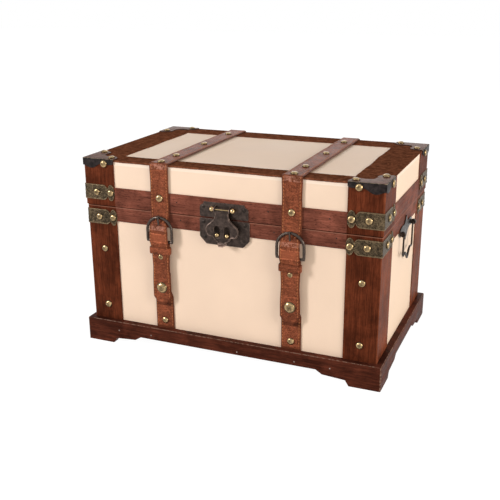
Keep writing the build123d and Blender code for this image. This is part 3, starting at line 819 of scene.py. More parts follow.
def stitches(line, half, lift, middle):
    """A row of stitches beside each edge: small capsules laid along the strip's outer face."""
    sizes = bpy.context.scene.box_sizes
    travel = travel_of(line)
    pitch = sizes.stitch_length + sizes.stitch_gap
    centres = np.arange(pitch, travel[-1] - pitch, pitch)
    place = at_travel(centres, travel, line)[:, :, None, None]
    wide = np.interp(centres, travel, np.broadcast_to(half, len(line)))[:, None, None]
    normal = unit(at_travel(centres, travel, normals_of(line)))[:, :, None, None]
    reach = np.linspace(-1, 1, 5)[None, :, None]
    girth = STITCH_GIRTH * np.sqrt(1 - (reach * 0.93) ** 2)
    turn = np.linspace(0, 2 * np.pi, 6, endpoint=False)
    out = lift + girth * np.sin(turn) * 0.8
    along = reach * sizes.stitch_length / 2
    y = place[:, 0] + normal[:, 0] * out + normal[:, 1] * along
    z = place[:, 1] + normal[:, 1] * out - normal[:, 0] * along
    shapes = []
    for side in (-1, 1):
        x = middle + side * (wide - STITCH_IN) + girth * np.cos(turn)
        shapes += [surface(one, wrap_columns=True, capped=True) for one in points_of(x, y, z)]
    return joined(shapes)


def tab_line():
    """The tab's (y, z) line, hanging from the buckle with a slight outward bow."""
    middle = (TAB_LOW[1] + TAB_HIGH[1]) / 2
    low, high = TAB_LOW[2], TAB_HIGH[2]
    z = np.linspace(high, low, 60)
    share = (high - z) / (high - low)
    curl = 0.9 * MM * np.clip((share - 0.8) / 0.2, 0, 1) ** 2
    return points_of(middle - 0.5 * MM * np.sin(np.pi * share) - curl, z)


def tab_half(line):
    """Half the tab's width: a slight waist, then two cut corners at the tip."""
    full = (TAB_HIGH[0] - TAB_LOW[0]) / 2
    rise = (line[:, 1] - TAB_LOW[2]) / MM
    waist = WAIST_IN * swelling(rise, WAIST_RISE, WAIST_FADE)
    cut = TIP_CUT * np.clip(1 - rise / TIP_RISE, 0, 1) ** 1.2
    return full - (waist + cut) * MM


def lower_strap(thick):
    """The lower strap's (y, z) line and half width: it is narrower where the tab covers it."""
    y = PANEL_LOW[1] - thick / 2
    line = rounded_line([(y, span("right_lower_strap")[1][2]), (y, PANEL_LOW[2])], MM, 2 * MM)
    covered = np.clip((line[:, 1] - COVERED_Z * MM) / (COVERED_RISE * MM), 0, 1)
    return line, STRAP_HALF - COVERED_IN * MM * covered


def make_straps():
    """Leather, tab, keeper and lower strap on each side, with their stitching."""
    thick = bpy.context.scene.box_sizes.strap_thickness
    line = strap_line()
    half = strap_half(line)
    line = line + crumpled(line, 0.12 * MM)
    tab = tab_line()
    tab_width = tab_half(tab)
    tab_thick = TAB_HIGH[1] - TAB_LOW[1]
    lower, lower_half = lower_strap(thick)
    for side, sign in SIDES.items():
        x = sign * STRAP_X
        behind = strip(backing_line(), half.max() - 0.3 * MM, 0.8 * thick, x)
        shape = joined([strip(line, half, thick, x), behind])
        bend = [side + "_upper_strap", side + "_strap_tail"]
        hang_on_bend(build(side + "_strap_leather", shape, "brown_strap_leather", None, bend))
        shape = strip(tab, tab_width, tab_thick, x, 16)
        build(side + "_tab_leather", shape, "brown_strap_leather", side + "_strap", [side + "_strap_tab"])
        shape = strip(lower, lower_half, thick, x)
        build(side + "_lower_leather", shape, "brown_strap_leather", "base", [side + "_lower_strap"])
        threads = build_stitches(side + "_strap_stitches", stitches(line, half, -thick / 2, x))
        hang_on_bend(threads)
        shape = stitches(tab[6:-4], tab_width[6:-4], -tab_thick / 2, x)
        build_stitches(side + "_tab_stitches", shape, side + "_strap")
        build_stitches(side + "_lower_stitches", stitches(lower, lower_half, -thick / 2, x), "base")
        make_keeper(side, x)


def hang_on_bend(piece):
    """Bakes the piece's placement into its mesh; the piece hangs on no body."""
    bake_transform(piece)


def build_stitches(name, shape, body=None):
    """A group of stitches with the thread finish, in the leather's slot."""
    piece = build(name, shape, "brown_strap_leather", body)
    piece.data.materials.clear()
    if "strap_thread" not in bpy.data.materials:
        thread_finish("strap_thread", bpy.context.scene.box_colours.stitch)
    piece.data.materials.append(bpy.data.materials["strap_thread"])
    return piece


def make_keeper(side, x):
    """The keeper: a flat leather band carried once round the strap and tab, as a rounded rectangle."""
    low, high = span(side + "_keeper")
    half_x = (high[0] - low[0] - KEEPER_WALL) / 2 - 0.6 * MM
    half_y = (high[1] - low[1] - KEEPER_WALL) / 2
    middle_y, middle_z = (high[1] + low[1]) / 2, (high[2] + low[2]) / 2
    turn = circle(1.0, steps=72)
    ring = np.sign(turn) * np.abs(turn) ** KEEPER_SQUARENESS * np.array([half_x, half_y])
    tangent = unit(np.roll(ring, -1, 0) - np.roll(ring, 1, 0))
    up, lift = oval_loop(9, 6)
    px = x + ring[:, :1] + tangent[:, 1:] * lift * KEEPER_WALL / 2
    py = middle_y + ring[:, 1:] - tangent[:, :1] * lift * KEEPER_WALL / 2
    way = ring[:, :1] / MM
    sag = 0.35 * MM * np.sin(way * 0.55 + 0.8) + 0.2 * MM * np.sin(way * 1.3)
    pz = middle_z + up * (high[2] - low[2]) / 2 + sag
    # The rim darkens the keeper's edges: partly the dark cut edge, partly painted shade
    shape = surface(points_of(px, py, pz), wrap_rows=True, wrap_columns=True, rim=np.abs(up) ** 8)
    build(side + "_keeper_loop", shape, "brown_strap_leather", side + "_strap", [side + "_keeper"])


def make_buckles():
    """A horseshoe frame of round bar closed by its base bar, and a prong out of the strap on to its crown."""
    low, high = span("right_buckle")
    half = (high[0] - low[0]) / 2 - BUCKLE_BAR
    crown = high[2] - 0.5 * MM - BUCKLE_BAR - half
    foot = low[2] + 1.4 * MM
    plane = high[1] - 1.5 * MM
    legs = np.linspace(crown, foot, 8)[1:]
    left, right = points_of(-half, legs), points_of(half, legs[::-1])
    bottom = points_of(np.linspace(-half, half, 14)[1:-1], foot)
    loop = np.vstack([circle(half, 0, crown, 25, 0, 180), left, bottom, right])
    prong = rounded_line([(plane + y * MM, z * MM) for y, z in PRONG_ROUTE], 3 * MM, 1 * MM)
    taper = np.interp(np.linspace(0, 1, len(prong)), [0, 0.8, 1], [1.25 * MM, 1.2 * MM, 0.8 * MM])
    for side, sign in SIDES.items():
        x = sign * STRAP_X
        ring = tube(points_of(x + loop[:, 0], plane, loop[:, 1]), BUCKLE_BAR, closed=True, flat=0.86)
        shape = joined([ring, tube(points_of(x, prong[:, 0], prong[:, 1]), taper)])
        build(side + "_buckle_frame", shape, "buckle_steel", side + "_strap", [side + "_buckle"], 60)


# Edging on the lid's top


def ragged(count, size, seed):
    """An uneven cut edge: random knots joined by straight lines, at a coarse and a fine pitch."""
    chance = np.random.default_rng(seed)
    knots = np.arange(0, count + RAGGED_PITCH, RAGGED_PITCH)
    coarse = np.interp(np.arange(count), knots, chance.normal(0, 0.6, len(knots)))
    return (coarse + chance.normal(0, 0.25, count)) * size


def edging(run, inner, outer, low, high, lip):
    """One strip as a section carried along its run: points are (run, across, up) with a turned-down lip."""
    wave = ragged(len(run), 0.8 * MM, len(run) + int(abs(outer) * 1e5))
    sag = ragged(len(run), 0.25 * MM, len(run) + 7)
    sign = np.sign(outer)
    inner = inner + wave
    section = [(inner, high - 0.15 * MM), (inner + sign * 0.4 * MM, high), (outer, high)]
    if lip > 0:
        thin = sign * 0.75 * MM
        section += [(outer, low - lip + sag), (outer - thin, low - lip + sag), (outer - thin, low)]
    else:
        section.append((outer, low))
    section.append((inner, low))
    points = [points_of(run, across, up) for across, up in section]
    return surface(np.stack(points, 1), wrap_columns=True, capped=True)


def make_edging():
    """Brown strips glued round the lid's top, with uneven inner edges."""
    low, high = span("lid_top_strips")
    top, under = high[2], high[2] - EDGING_THICK
    half_y = (high[1] - low[1]) / 2
    lid_front, lid_back = span("lid_front_panel")[0][1], span("lid_back_panel")[1][1]
    inner_x = span("lid_front_panel")[1][0]
    end = inner_x - 0.02 * MM
    run = np.linspace(-end, end, 200)
    fronts = lid_front - EDGING_THICK - MID_Y, lid_back + EDGING_THICK - MID_Y
    shapes = []
    for outer, width in zip(fronts, EDGING_WIDTHS):
        inner = outer - np.sign(outer) * width
        one = edging(run, inner, outer, under, top, 1.4 * MM)
        shapes.append(moved(one, lambda points: points + np.array([0, MID_Y, 0])))
    run = np.linspace(-half_y, half_y, 170)
    for sign in (-1, 1):
        one = edging(run, sign * inner_x, sign * high[0], under, top, 0)
        shapes.append(moved(one, lambda points: points[:, [1, 0, 2]] + np.array([0, MID_Y, 0])))
    build("lid_top_edging", joined(shapes), "top_strip_leatherette", "lid", ["lid_top_strips"])


# Nails, brads and rivets, with places in millimetres
NAILS_IN_FRONT, NAILS_IN_SIDE = (16.5, 36.3), (20.0, 41.3)
POST_NAIL_X, POST_NAIL_HEIGHTS = 167, (126.5, 50.5)
STRAP_NAIL_DEPTHS = (-111.5, -73, 5, 83)
LOWER_NAIL_Z, FRONT_NAIL_Z, BACK_NAIL_Z = 41.5, 200.5, 218
CAP_NAIL_INSETS = (0, 9, 30, 36)
SNAP_PROFILE = [(0, 0), (7.0, 0), (7.2, 0.5), (6.9, 1.0), (6.5, 1.05), (6.2, 1.5)]
SNAP_PROFILE += [(5.2, 2.4), (3.6, 3.05), (1.8, 3.35), (0, 3.4)]
RIVET_PROFILE = [(0, 0), (2.9, 0), (3.0, 0.4), (2.5, 0.85), (1.4, 1.0), (0, 1.0)]
BRADS = (
    ("plinth_brads", "base", "plinth_front", "dark_bronze", 1.1,
     ((-149, 18.5), (-102, 19.5), (17, 18), (91, 19), (135, 18.5))),
    ("base_band_brads", "base", "base_rim_bands", "black_iron", 0.9, ((-58, 175), (62, 174), (136, 175.5))),
    ("lid_brads", "lid", "lid_rim_bands", "black_iron", 0.9, ((-62, 197), (55, 198), (128, 197.5))),
)
CORNERS = [(sx, sy) for sx in (-1, 1) for sy in (-1, 1)]
ENDS, FRONTS = {-1: "left", 1: "right"}, {-1: "front", 1: "back"}


def corner_places(half, height):
    """Nail places on the front, back and both ends, at distances in from the four corners."""
    out = 0.8 * MM
    places = []
    for sign in (-1, 1):
        for reach in NAILS_IN_FRONT:
            across = sign * (half[0] - reach * MM)
            places.append(("front", (across, MID_Y - half[1] - out, height)))
            places.append(("back", (across, MID_Y + half[1] + out, height)))
        for reach in NAILS_IN_SIDE:
            depth = MID_Y + sign * (half[1] - reach * MM)
            places += [("left", (-half[0] - out, depth, height)), ("right", (half[0] + out, depth, height))]
    return places


def cap_places():
    """Nail places on the lid's corner caps: two on top and one on each flange."""
    top = CAP_HIGH[2]
    low = top - 6 * MM
    places = []
    for sx, sy in CORNERS:
        x = [sx * (CAP_HALF[0] - inset * MM) for inset in CAP_NAIL_INSETS]
        y = [MID_Y + sy * (CAP_HALF[1] - inset * MM) for inset in CAP_NAIL_INSETS]
        places += [("top", (x[3], y[1], top)), ("top", (x[1], y[3], top))]
        places += [(FRONTS[sy], (x[2], y[0], low)), (ENDS[sx], (x[0], y[2], low))]
    return places


def nail_group(name, places, body, replaced):
    """Domed nails at a list of (face, place), each tilted and sized a little differently."""
    sizes = bpy.context.scene.box_sizes
    chance = np.random.default_rng(11)
    shapes = []
    for face, place in places:
        scale = 1 + chance.uniform(-0.05, 0.05)
        points, faces, rim = spun(dome_profile(sizes.nail_radius * scale, sizes.nail_height * scale))
        lean = chance.uniform(-0.05, 0.05, 2)
        points = points + points[:, :2] @ lean[:, None] * np.array([0, 0, 1])
        shapes.append(moved((points, faces, rim), on_face(face, place)))
    build(name, joined(shapes), "antique_brass", body, replaced, 70)


def make_nails():
    """Every domed nail of the body and lid."""
    strap_out = 2 * MM
    base = corner_places(BODY_HALF, middle_of("base_corner_straps")[2])
    for sign in (-1, 1):
        for height in POST_NAIL_HEIGHTS:
            base.append(("front", (sign * POST_NAIL_X * MM, BODY_LOW[1], height * MM)))
            base.append(("back", (sign * POST_NAIL_X * MM, BODY_HIGH[1], height * MM)))
        base.append(("front", (sign * STRAP_X, PANEL_LOW[1] - strap_out, LOWER_NAIL_Z * MM)))
    nail_group("body_nails", base, "base", ["base_nails"])
    lid = corner_places(LID_HALF, middle_of("lid_corner_straps")[2]) + cap_places()
    for x in (-STRAP_X, STRAP_X):
        lid += [("top", (x, MID_Y + y * MM, LID_TOP + strap_out)) for y in STRAP_NAIL_DEPTHS]
        lid.append(("front", (x, LID_LOW[1] - strap_out, FRONT_NAIL_Z * MM)))
        lid.append(("back", (x, LID_HIGH[1] + strap_out, BACK_NAIL_Z * MM)))
    nail_group("lid_domed_nails", lid, "lid", ["lid_nails"])


def make_brads():
    """Brads sunk almost flush in the plinth and the rim bands, and one dark tack in the lid's edging."""
    for name, body, node, slot, radius, places in BRADS:
        head = spun(dome_profile(radius * MM, 0.35 * MM), 10)
        front = span(node)[0][1]
        heads = [moved(head, on_face("front", (x * MM, front, z * MM))) for x, z in places]
        build(name, joined(heads), slot, body)
    tack = spun(dome_profile(4.2 * MM, 1.8 * MM), 20)
    painted = moved(tack, on_face("top", (169 * MM, MID_Y - 14 * MM, LID_TOP)))
    build("painted_tack", painted, "top_strip_leatherette", "lid")


def make_snaps():
    """The snap's broad cap with a rolled rim and the small rivet above it, on each tab."""
    low, high = span("right_snap_cap")
    heads = ((SNAP_PROFILE, low[2] + 7.2 * MM), (RIVET_PROFILE, high[2] - 3.0 * MM))
    for side, sign in SIDES.items():
        shapes = []
        for profile, height in heads:
            place = (sign * STRAP_X, high[1] - 0.1 * MM, height)
            shapes.append(moved(spun(np.array(profile) * MM, 36), on_face("front", place)))
        build(side + "_snap", joined(shapes), "antique_brass", side + "_strap", [side + "_snap_cap"], 50)


# Corner straps and caps, in millimetres
LOBE_HALF, TALL_HALF, STRAP_RIM = 10.2, 9.5, 1.3
FRONT_REACH, SIDE_REACH = 41.5, 46.5
CAP_PLAN = [(0, 0), (43, 0), (43.4, 6), (42, 12.5), (38.5, 17), (34, 18.3), (29.5, 17), (24, 17.6)]
CAP_PLAN += [(19.5, 19.5), (17.6, 24), (17, 29.5), (18.3, 34), (17, 38.5), (12.5, 42), (6, 43.4), (0, 43)]
CAP_DROP = [(0, 0), (43, 0), (43, 5.2), (41.5, 6.8), (38, 7.2), (33, 6.6), (28, 6.4), (23, 7.2), (19, 9.6)]
CAP_DROP += [(15.5, 11.8), (11.5, 12.4), (7, 11.6), (3.5, 9.8), (0, 9.2)]
CAP_THICK = 1.0 * MM


def lobed_half(distance, reach):
    """Half the corner strap's height at a distance from the corner: straight, shoulder, waist, lobe."""
    past_shoulder = np.clip(distance - (reach - 15.6), 0, None) / 6.5
    past_lobe = (distance - (reach - 5.0)) / 5.0
    shoulder = TALL_HALF * np.sqrt(np.clip(1 - past_shoulder**2, 0, 1))
    lobe = LOBE_HALF * np.sqrt(np.clip(1 - past_lobe**2, 0, 1))
    return np.maximum(np.maximum(shoulder, lobe), 0.15)


def corner_strap_shape(half, height, sx, sy):
    """An embossed strap bent round one corner: a raised rim, and scrolls as a sum of crossing waves."""
    emboss = bpy.context.scene.box_sizes.emboss_depth / MM
    side, front = np.linspace(-SIDE_REACH + 0.01, -0.01, 92), np.linspace(0.01, FRONT_REACH - 0.01, 84)
    tall = np.concatenate([lobed_half(-side, SIDE_REACH), lobed_half(front, FRONT_REACH)])[:, None]
    rows = np.concatenate([side, front])[:, None]
    distance, on_front = np.abs(rows), rows > 0
    across = np.sin(np.linspace(-np.pi / 2, np.pi / 2, 25))[None, :]
    edge = np.clip((np.abs(across) * tall - (tall - STRAP_RIM)) / STRAP_RIM, 0, 1)
    ridge = np.sin(np.pi * edge) * 0.35
    up = across * tall
    bands = np.sin(distance * 0.9 + 1.8 * np.sin(up * 0.55))
    swirl = bands * np.cos(up * 0.75 + 0.6 * np.sin(distance * 0.7))
    relief = 0.8 + ridge + emboss * np.clip(swirl, -0.4, 1) * (1 - edge)
    relief = np.where(np.abs(across) > 0.9999, 0.0, relief)
    relief[0], relief[-1] = 0.0, 0.0
    x = half[0] / MM + np.where(on_front, -distance, relief)
    y = half[1] / MM + np.where(on_front, relief, -distance)
    bright = np.clip(ridge * 2.4 + np.clip(swirl, 0, 1) * 0.35, 0, 1)
    return surface(points_of(sx * x * MM, MID_Y + sy * y * MM, height + up * MM), rim=bright)


def make_corner_straps():
    """Embossed straps round the corners of the body and of the lid."""
    for body, half in (("base", BODY_HALF), ("lid", LID_HALF)):
        node = body + "_corner_straps"
        shapes = [corner_strap_shape(half, middle_of(node)[2], sx, sy) for sx, sy in CORNERS]
        build(body + "_embossed_corners", joined(shapes), "embossed_brass", body, [node], 50)


def make_corner_caps():
    """Metal caps on the lid's corners: a top plate and two scalloped flanges with rounded edges."""
    bevel = bpy.context.scene.box_sizes.plate_bevel
    plan, drop = np.array(CAP_PLAN, float) * MM, np.array(CAP_DROP, float) * MM
    shapes = []
    for sx, sy in CORNERS:
        corner = np.array([sx * CAP_HALF[0], MID_Y + sy * CAP_HALF[1], CAP_HIGH[2]])
        plates = (
            ("top", plan, (-sx, -sy), (0, 0, -1)),
            (FRONTS[sy], drop, (sx * sy, -1), (0, -sy, 0)),
            (ENDS[sx], drop, (-sx * sy, -1), (-sx, 0, 0)),
        )
        for face, outline, flip, inwards in plates:
            one = plate([outline * np.array(flip)], CAP_THICK, bevel)
            shapes.append(moved(one, on_face(face, corner + np.array(inwards) * CAP_THICK)))
    build("lid_cap_plates", joined(shapes), "dark_gunmetal", "lid", ["lid_corner_caps"], 35)


# Latch, handles and the hinges' pin heads, in millimetres
PIN_HEAD = np.array([(0, -0.3), (2.1, -0.3), (2.1, 0.15), (1.4, 0.5), (0, 0.6)]) * MM
UPPER_PIN_HEADS = [(-26, 196), (26, 196)]
LOWER_PIN_HEADS = [(-26.5, 177), (-25, 158.5), (26.5, 177), (25, 158.5)]
HINGE_PIN_HEADS, LOWER_LEAF_Z, UPPER_LEAF_Z = (-131, -105, 105, 131), 173, 194
PLATE_THICK = 1.2 * MM
HASP_NECK = [(8.85, 193.4), (8.6, 189), (10.5, 183.5), (15.5, 179.3)]
HASP_LOBE, HASP_CHIN = (9.3, 11.7, 170.5), (13.4, 0, 168.2)
HASP_THICK, HASP_HALF, HASP_OUT = 1.5 * MM, 8.7 * MM, 2.4 * MM
ROLL_RADIUS, ROLL_ARC = 1.85 * MM, (238, 500)
JOINT_HEIGHTS = (193.9, 192.6)
LIP_ROUTE = [(0, 158), (0, 153.8), (-4.5, 152.6)]
LIP_HALF, LIP_THICK = 5.6 * MM, 1.3 * MM
SLOT_X, SLOT_RADIUS, SLOT_HIGH_Z, SLOT_LOW_Z = 6.4, 3.9, 172.2, 165.2
BALL_RADIUS, STUD_RADIUS, POST_RADIUS, ROD_RADIUS = 3.2 * MM, 2.75 * MM, 1.5 * MM, 1.15 * MM
EAR_X, EAR_RADIUS, EAR_THICK, EAR_ARC = 9.6, 3.2, 1.05, (100, 260)
WING = [(0, 177), (4, 171), (10, 167), (20, 168.5), (32, 166.5), (33, 161), (31, 156.5), (20, 158.5)]
WING += [(11, 156), (6, 151.5), (0, 145.5)]
KNOB = np.array([(0, -2.1), (2.6, -2.1), (3.3, -1.4), (3.5, 0), (3.3, 1.4), (2.6, 2.1), (0, 2.1)]) * MM
NECK = np.array([(0, 0), (3.0, 0), (2.6, 3.4), (0, 3.4)]) * MM
LUG_Y = 29.5
BAIL = [(-LUG_Y, 161), (-25.2, 160.6), (-24.5, 155), (-25.2, 134), (-22.5, 131.8), (-13, 133.5)]
BAIL += [(-9.5, 131.5), (0, 122.2)]
BAIL += [(-y, z) for y, z in BAIL[-2::-1]]


def pin_heads(name, body, places, side, y):
    """Small dark domed pin heads at (x, z) places on the front or back."""
    head = dulled(spun(PIN_HEAD, 18), 0.0)
    heads = [moved(head, on_face(side, (x * MM, y, z * MM))) for x, z in places]
    build(name, joined(heads), "black_iron", body)


def ball(radius, face, place):
    """A ball of brass round a place."""
    turn = np.linspace(0, np.pi, 13)
    return dulled(moved(spun(points_of(np.sin(turn), -np.cos(turn)) * radius, 22), on_face(face, place)), 0.5)


def make_upper_plate(pin_y, pin_z, bevel):
    """The lid's latch plate: stepped top corners, and two ears round the pin."""
    low, high = span("latch_upper_plate") / MM
    half, top, bottom = high[0], high[2], low[2]
    upper = both_sides([(half - 5.5, top), (half - 4.2, top - 3), (half - 1, top - 4.6), (half, top - 7),
                        (half, bottom + 1.2), (half - 1.2, bottom)]) * MM
    shapes = [moved(plate([upper], PLATE_THICK, bevel), on_face("front", (0, LID_LOW[1], 0)))]
    back = LID_LOW[1] / MM - 0.6
    ear = circle(EAR_RADIUS, pin_y / MM, pin_z / MM, 20, *EAR_ARC)
    ear = np.vstack([ear, [(back, pin_z / MM - 3.4), (back, pin_z / MM + 3.4)]]) * MM
    lug = plate([ear], EAR_THICK * MM, 0.25 * MM)
    for x in (-EAR_X, EAR_X):
        shapes.append(moved(lug, on_face("right", ((x - 0.52) * MM, 0, 0))))
    build("latch_upper", joined(shapes), "dark_bronze", "lid", ["latch_upper_plate"], 35)
    pin_heads("latch_upper_pin_heads", "lid", UPPER_PIN_HEADS, "front", LID_LOW[1] - PLATE_THICK)


def make_lower_plate(bevel):
    """The body's latch plate: a broad top over a narrower, cut-in foot."""
    low, high = span("latch_lower_plate") / MM
    half, top, bottom = high[0], high[2], low[2]
    lower = both_sides([(half - 1.2, top), (half, top - 1.2), (half, bottom + 9), (half - 1.8, bottom + 6.6),
                        (half - 6.2, bottom + 2.2), (half - 8.5, bottom)]) * MM
    shape = moved(plate([lower], PLATE_THICK, bevel), on_face("front", (0, BODY_LOW[1], 0)))
    build("latch_lower", shape, "dark_bronze", "base", ["latch_lower_plate"], 35)
    pin_heads("latch_lower_pin_heads", "base", LOWER_PIN_HEADS, "front", BODY_LOW[1] - PLATE_THICK)


def make_hinge_pin_heads():
    """The pin heads on the leaves of both back hinges."""
    for body, z, high in (("base", LOWER_LEAF_Z, BODY_HIGH), ("lid", UPPER_LEAF_Z, LID_HIGH)):
        places = [(x, z) for x in HINGE_PIN_HEADS]
        pin_heads("hinge_" + body + "_pin_heads", body, places, "back", high[1] + PLATE_THICK)


def make_pin_and_studs(pin_y, pin_z):
    """The brass pin with a ball on each end, and the two ball-headed studs that the hasp closes over."""
    pin_x = span("latch_pin")[1][0]
    shapes = [tube(points_of(np.linspace(-13, 13, 9) * MM, pin_y, pin_z), ROD_RADIUS, steps=14)]
    for sign in (-1, 1):
        shapes.append(ball(BALL_RADIUS, "right", (sign * (pin_x - 3 * MM), pin_y, pin_z)))
    build("latch_ball_pin", joined(shapes), "antique_brass", "lid", ["latch_pin"], 60)

    stud_low, stud_high = span("latch_studs")
    reach = stud_high[1] - stud_low[1] - STUD_RADIUS
    post = spun([(0, 0), (POST_RADIUS, 0), (POST_RADIUS, reach), (0, reach)], 16)
    shapes = []
    for x in (-SLOT_X, SLOT_X):
        centre = (x * MM, stud_low[1] + STUD_RADIUS, middle_of("latch_studs")[2])
        shapes += [ball(STUD_RADIUS, "front", centre), moved(post, on_face("back", centre))]
    build("latch_ball_studs", joined(shapes), "antique_brass", "base", ["latch_studs"], 60)


def hasp_outline():
    """The hasp from its knuckle down: a neck that flares into two lobes and a lower chin."""
    neck = rounded_line(HASP_NECK, 5, 1.0)
    lobe = circle(*HASP_LOBE, 22, 66, -56)
    chin = circle(*HASP_CHIN, 18, -24, -86)
    return both_sides(np.vstack([neck[:-1], lobe, chin])) * MM


def slot_outline(x):
    """An upright slot with round ends."""
    top = circle(SLOT_RADIUS, x, SLOT_HIGH_Z, 12, 0, 180)
    bottom = circle(SLOT_RADIUS, x, SLOT_LOW_Z, 12, 180, 360)
    return np.vstack([top, bottom]) * MM


def inset(outline, distance):
    """A closed outline moved inwards by a distance, without its doubled points."""
    after, before = np.roll(outline, -1, 0), np.roll(outline, 1, 0)
    keep = np.linalg.norm(after - outline, axis=1) > 1e-6
    outline, after, before = outline[keep], after[keep], before[keep]
    tangent = unit(after - before)
    area = np.sum(outline[:, 0] * np.roll(outline[:, 1], -1) - outline[:, 1] * np.roll(outline[:, 0], -1))
    return outline + points_of(-tangent[:, 1], tangent[:, 0]) * distance * np.sign(area)


def make_hasp(pin_y, pin_z, bevel):
    """The hasp: a rolled knuckle, a slotted plate with a raised border, and a curled finger lip."""
    front = pin_y - HASP_OUT
    middle = front + HASP_THICK / 2
    outlines = [hasp_outline(), slot_outline(-SLOT_X), slot_outline(SLOT_X)]
    shapes = [moved(plate(outlines, HASP_THICK, bevel * 1.2), on_face("front", (0, front + HASP_THICK, 0)))]
    border = inset(outlines[0], 1.0 * MM)[1:-1]
    shapes.append(dulled(tube(points_of(border[:, 0], front, border[:, 1]), 0.55 * MM, steps=8), 0.3))
    roll = circle(ROLL_RADIUS, pin_y, pin_z, 26, *ROLL_ARC)
    shapes.append(dulled(strip(roll, HASP_HALF, 1.1 * MM, 0), 0.0))
    joint = np.array([(middle, z * MM) for z in JOINT_HEIGHTS])
    shapes.append(dulled(strip(joint, HASP_HALF, 1.4 * MM, 0), 0.0))
    line = rounded_line([(middle + y * MM, z * MM) for y, z in LIP_ROUTE], 3 * MM, 0.6 * MM)
    past = np.clip(np.linspace(0, 1, len(line)) - 0.45, 0, 1)
    lip = strip(line, LIP_HALF * np.sqrt(np.clip(1 - past**2 * 2.4, 0.02, 1)), LIP_THICK, 0, 8)
    bright = np.where(lip[0][:, 1] < middle - 1.0 * MM, 1.0, lip[2])
    shapes.append((lip[0], lip[1], bright))
    build("latch_hasp_plate", joined(shapes), "dark_bronze", "hasp", ["latch_hasp"], 35)


def make_latch():
    """Upper and lower plates, the ball-ended pin in its two ears, the studs and the slotted hasp."""
    bevel = bpy.context.scene.box_sizes.plate_bevel
    pin_y, pin_z = middle_of("latch_pin")[1:]
    make_upper_plate(pin_y, pin_z, bevel)
    make_lower_plate(bevel)
    make_pin_and_studs(pin_y, pin_z)
    make_hasp(pin_y, pin_z, bevel)


def make_handles():
    """A pointed plate with two lugs on each end, and a bail of round bar with a dipped middle."""
    bevel = bpy.context.scene.box_sizes.plate_bevel
    low, high = span("right_handle_bail")
    pivot_x, pivot_z = (low[0] + high[0]) / 2, high[2] - 1.6 * MM
    wing = both_sides(rounded_line(WING, 4, 1.0))[:-1] * MM
    right = [moved(plate([wing], 1.5 * MM, bevel * 1.3), on_face("right", (BODY_HIGH[0], MID_Y, 0)))]
    for y in (MID_Y - LUG_Y * MM, MID_Y + LUG_Y * MM):
        right.append(moved(spun(KNOB, 22), on_face("back", (pivot_x, y, pivot_z))))
        right.append(moved(spun(NECK, 18), on_face("right", (BODY_HIGH[0], y, pivot_z))))
    right = joined(right)
    line = rounded_line(BAIL, 3.2, 1.2) * MM
    girth = 1.2 * MM + 0.15 * MM * np.cos(np.linspace(-np.pi, np.pi, len(line)))
    bail = tube(points_of(pivot_x, MID_Y + line[:, 0], line[:, 1]), girth, steps=14)
    for side, wings, loop in (("right", right, bail), ("left", mirrored(right), mirrored(bail))):
        build(side + "_handle_wing", wings, "black_iron", "base", [side + "_handle_plate"], 35)
        build(side + "_handle_loop", loop, "black_iron", side + "_bail", [side + "_handle_bail"], 60)


# Stage: the camera's place, its turns in degrees and its focal length as a share of the picture's width
CAMERA_PLACE = (0.371687, -0.923384 + MID_Y, 0.445098)
CAMERA_TURNS = (22.8295, 18.6947, -0.3161)
FOCAL_SHARE = 792.1 / 500
SENSOR_WIDTH = 36

# Lamps as (name, place, size, power, colour), and the light of the floor and the world
LAMPS = (
    ("front_lamp", (-1.3, -1.3, 0.85), 0.42, 22.5, (1.0, 0.99, 0.97)),
    ("end_lamp", (2.0, -0.7, 0.65), 1.0, 31, (1.0, 0.96, 0.86)),
    ("back_lamp", (-0.6, 1.9, 1.2), 1.4, 8, (1.0, 0.98, 0.95)),
)
LAMP_AIM = (0, 0, 0.12)
WHITE = (1, 1, 1, 1)
FLOOR_REACH, FLOOR_GLOW, FLOOR_SHARE = 6.0, 1.15, 0.85
FLOOR_COLOUR = (0.85, 0.85, 0.85, 1)
WORLD_COLOUR, WORLD_STRENGTH = (1.0, 0.94, 0.85, 1), 0.3


def dress_nodes():
    """Gives every frame node its slot's finish."""
    slots = {entry["node"]: entry["material_slot"] for entry in frame["record"]["subparts"]}
    for name, node in frame["nodes"].items():
        node.data.materials.clear()
        flat = name in ("lid_top_board", "base_floor_board")
        node.data.materials.append(finish_for("inner_wood_flat" if flat else slots[name]))


def make_camera():
    """A camera where the photograph was taken from: 23 degrees to the right and 19 above."""
    azimuth, elevation, roll = np.radians(CAMERA_TURNS)
    level = np.cos(elevation)
    back = np.array([np.sin(azimuth) * level, -np.cos(azimuth) * level, np.sin(elevation)])
    right = np.array([np.cos(azimuth), np.sin(azimuth), 0])
    up = np.cross(back, right)
    turned_right = np.cos(roll) * right + np.sin(roll) * up
    turned_up = -np.sin(roll) * right + np.cos(roll) * up
    lens = bpy.data.cameras.new("photograph_camera")
    lens.sensor_width = SENSOR_WIDTH
    lens.lens = FOCAL_SHARE * SENSOR_WIDTH
    camera = bpy.data.objects.new("photograph_camera", lens)
    columns = np.column_stack([turned_right, turned_up, back, CAMERA_PLACE])
    camera.matrix_world = Matrix([*columns.tolist(), (0, 0, 0, 1)])
    bpy.context.scene.collection.objects.link(camera)
    bpy.context.scene.camera = camera


def make_lamp(name, place, size, power, colour):
    """A square soft lamp at a place, turned to the box."""
    light = bpy.data.lights.new(name, "AREA")
    light.size, light.energy, light.color = size, power, colour
    lamp = bpy.data.objects.new(name, light)
    lamp.location = place
    lamp.rotation_euler = (Vector(LAMP_AIM) - Vector(place)).to_track_quat("-Z", "Y").to_euler()
    bpy.context.scene.collection.objects.link(lamp)


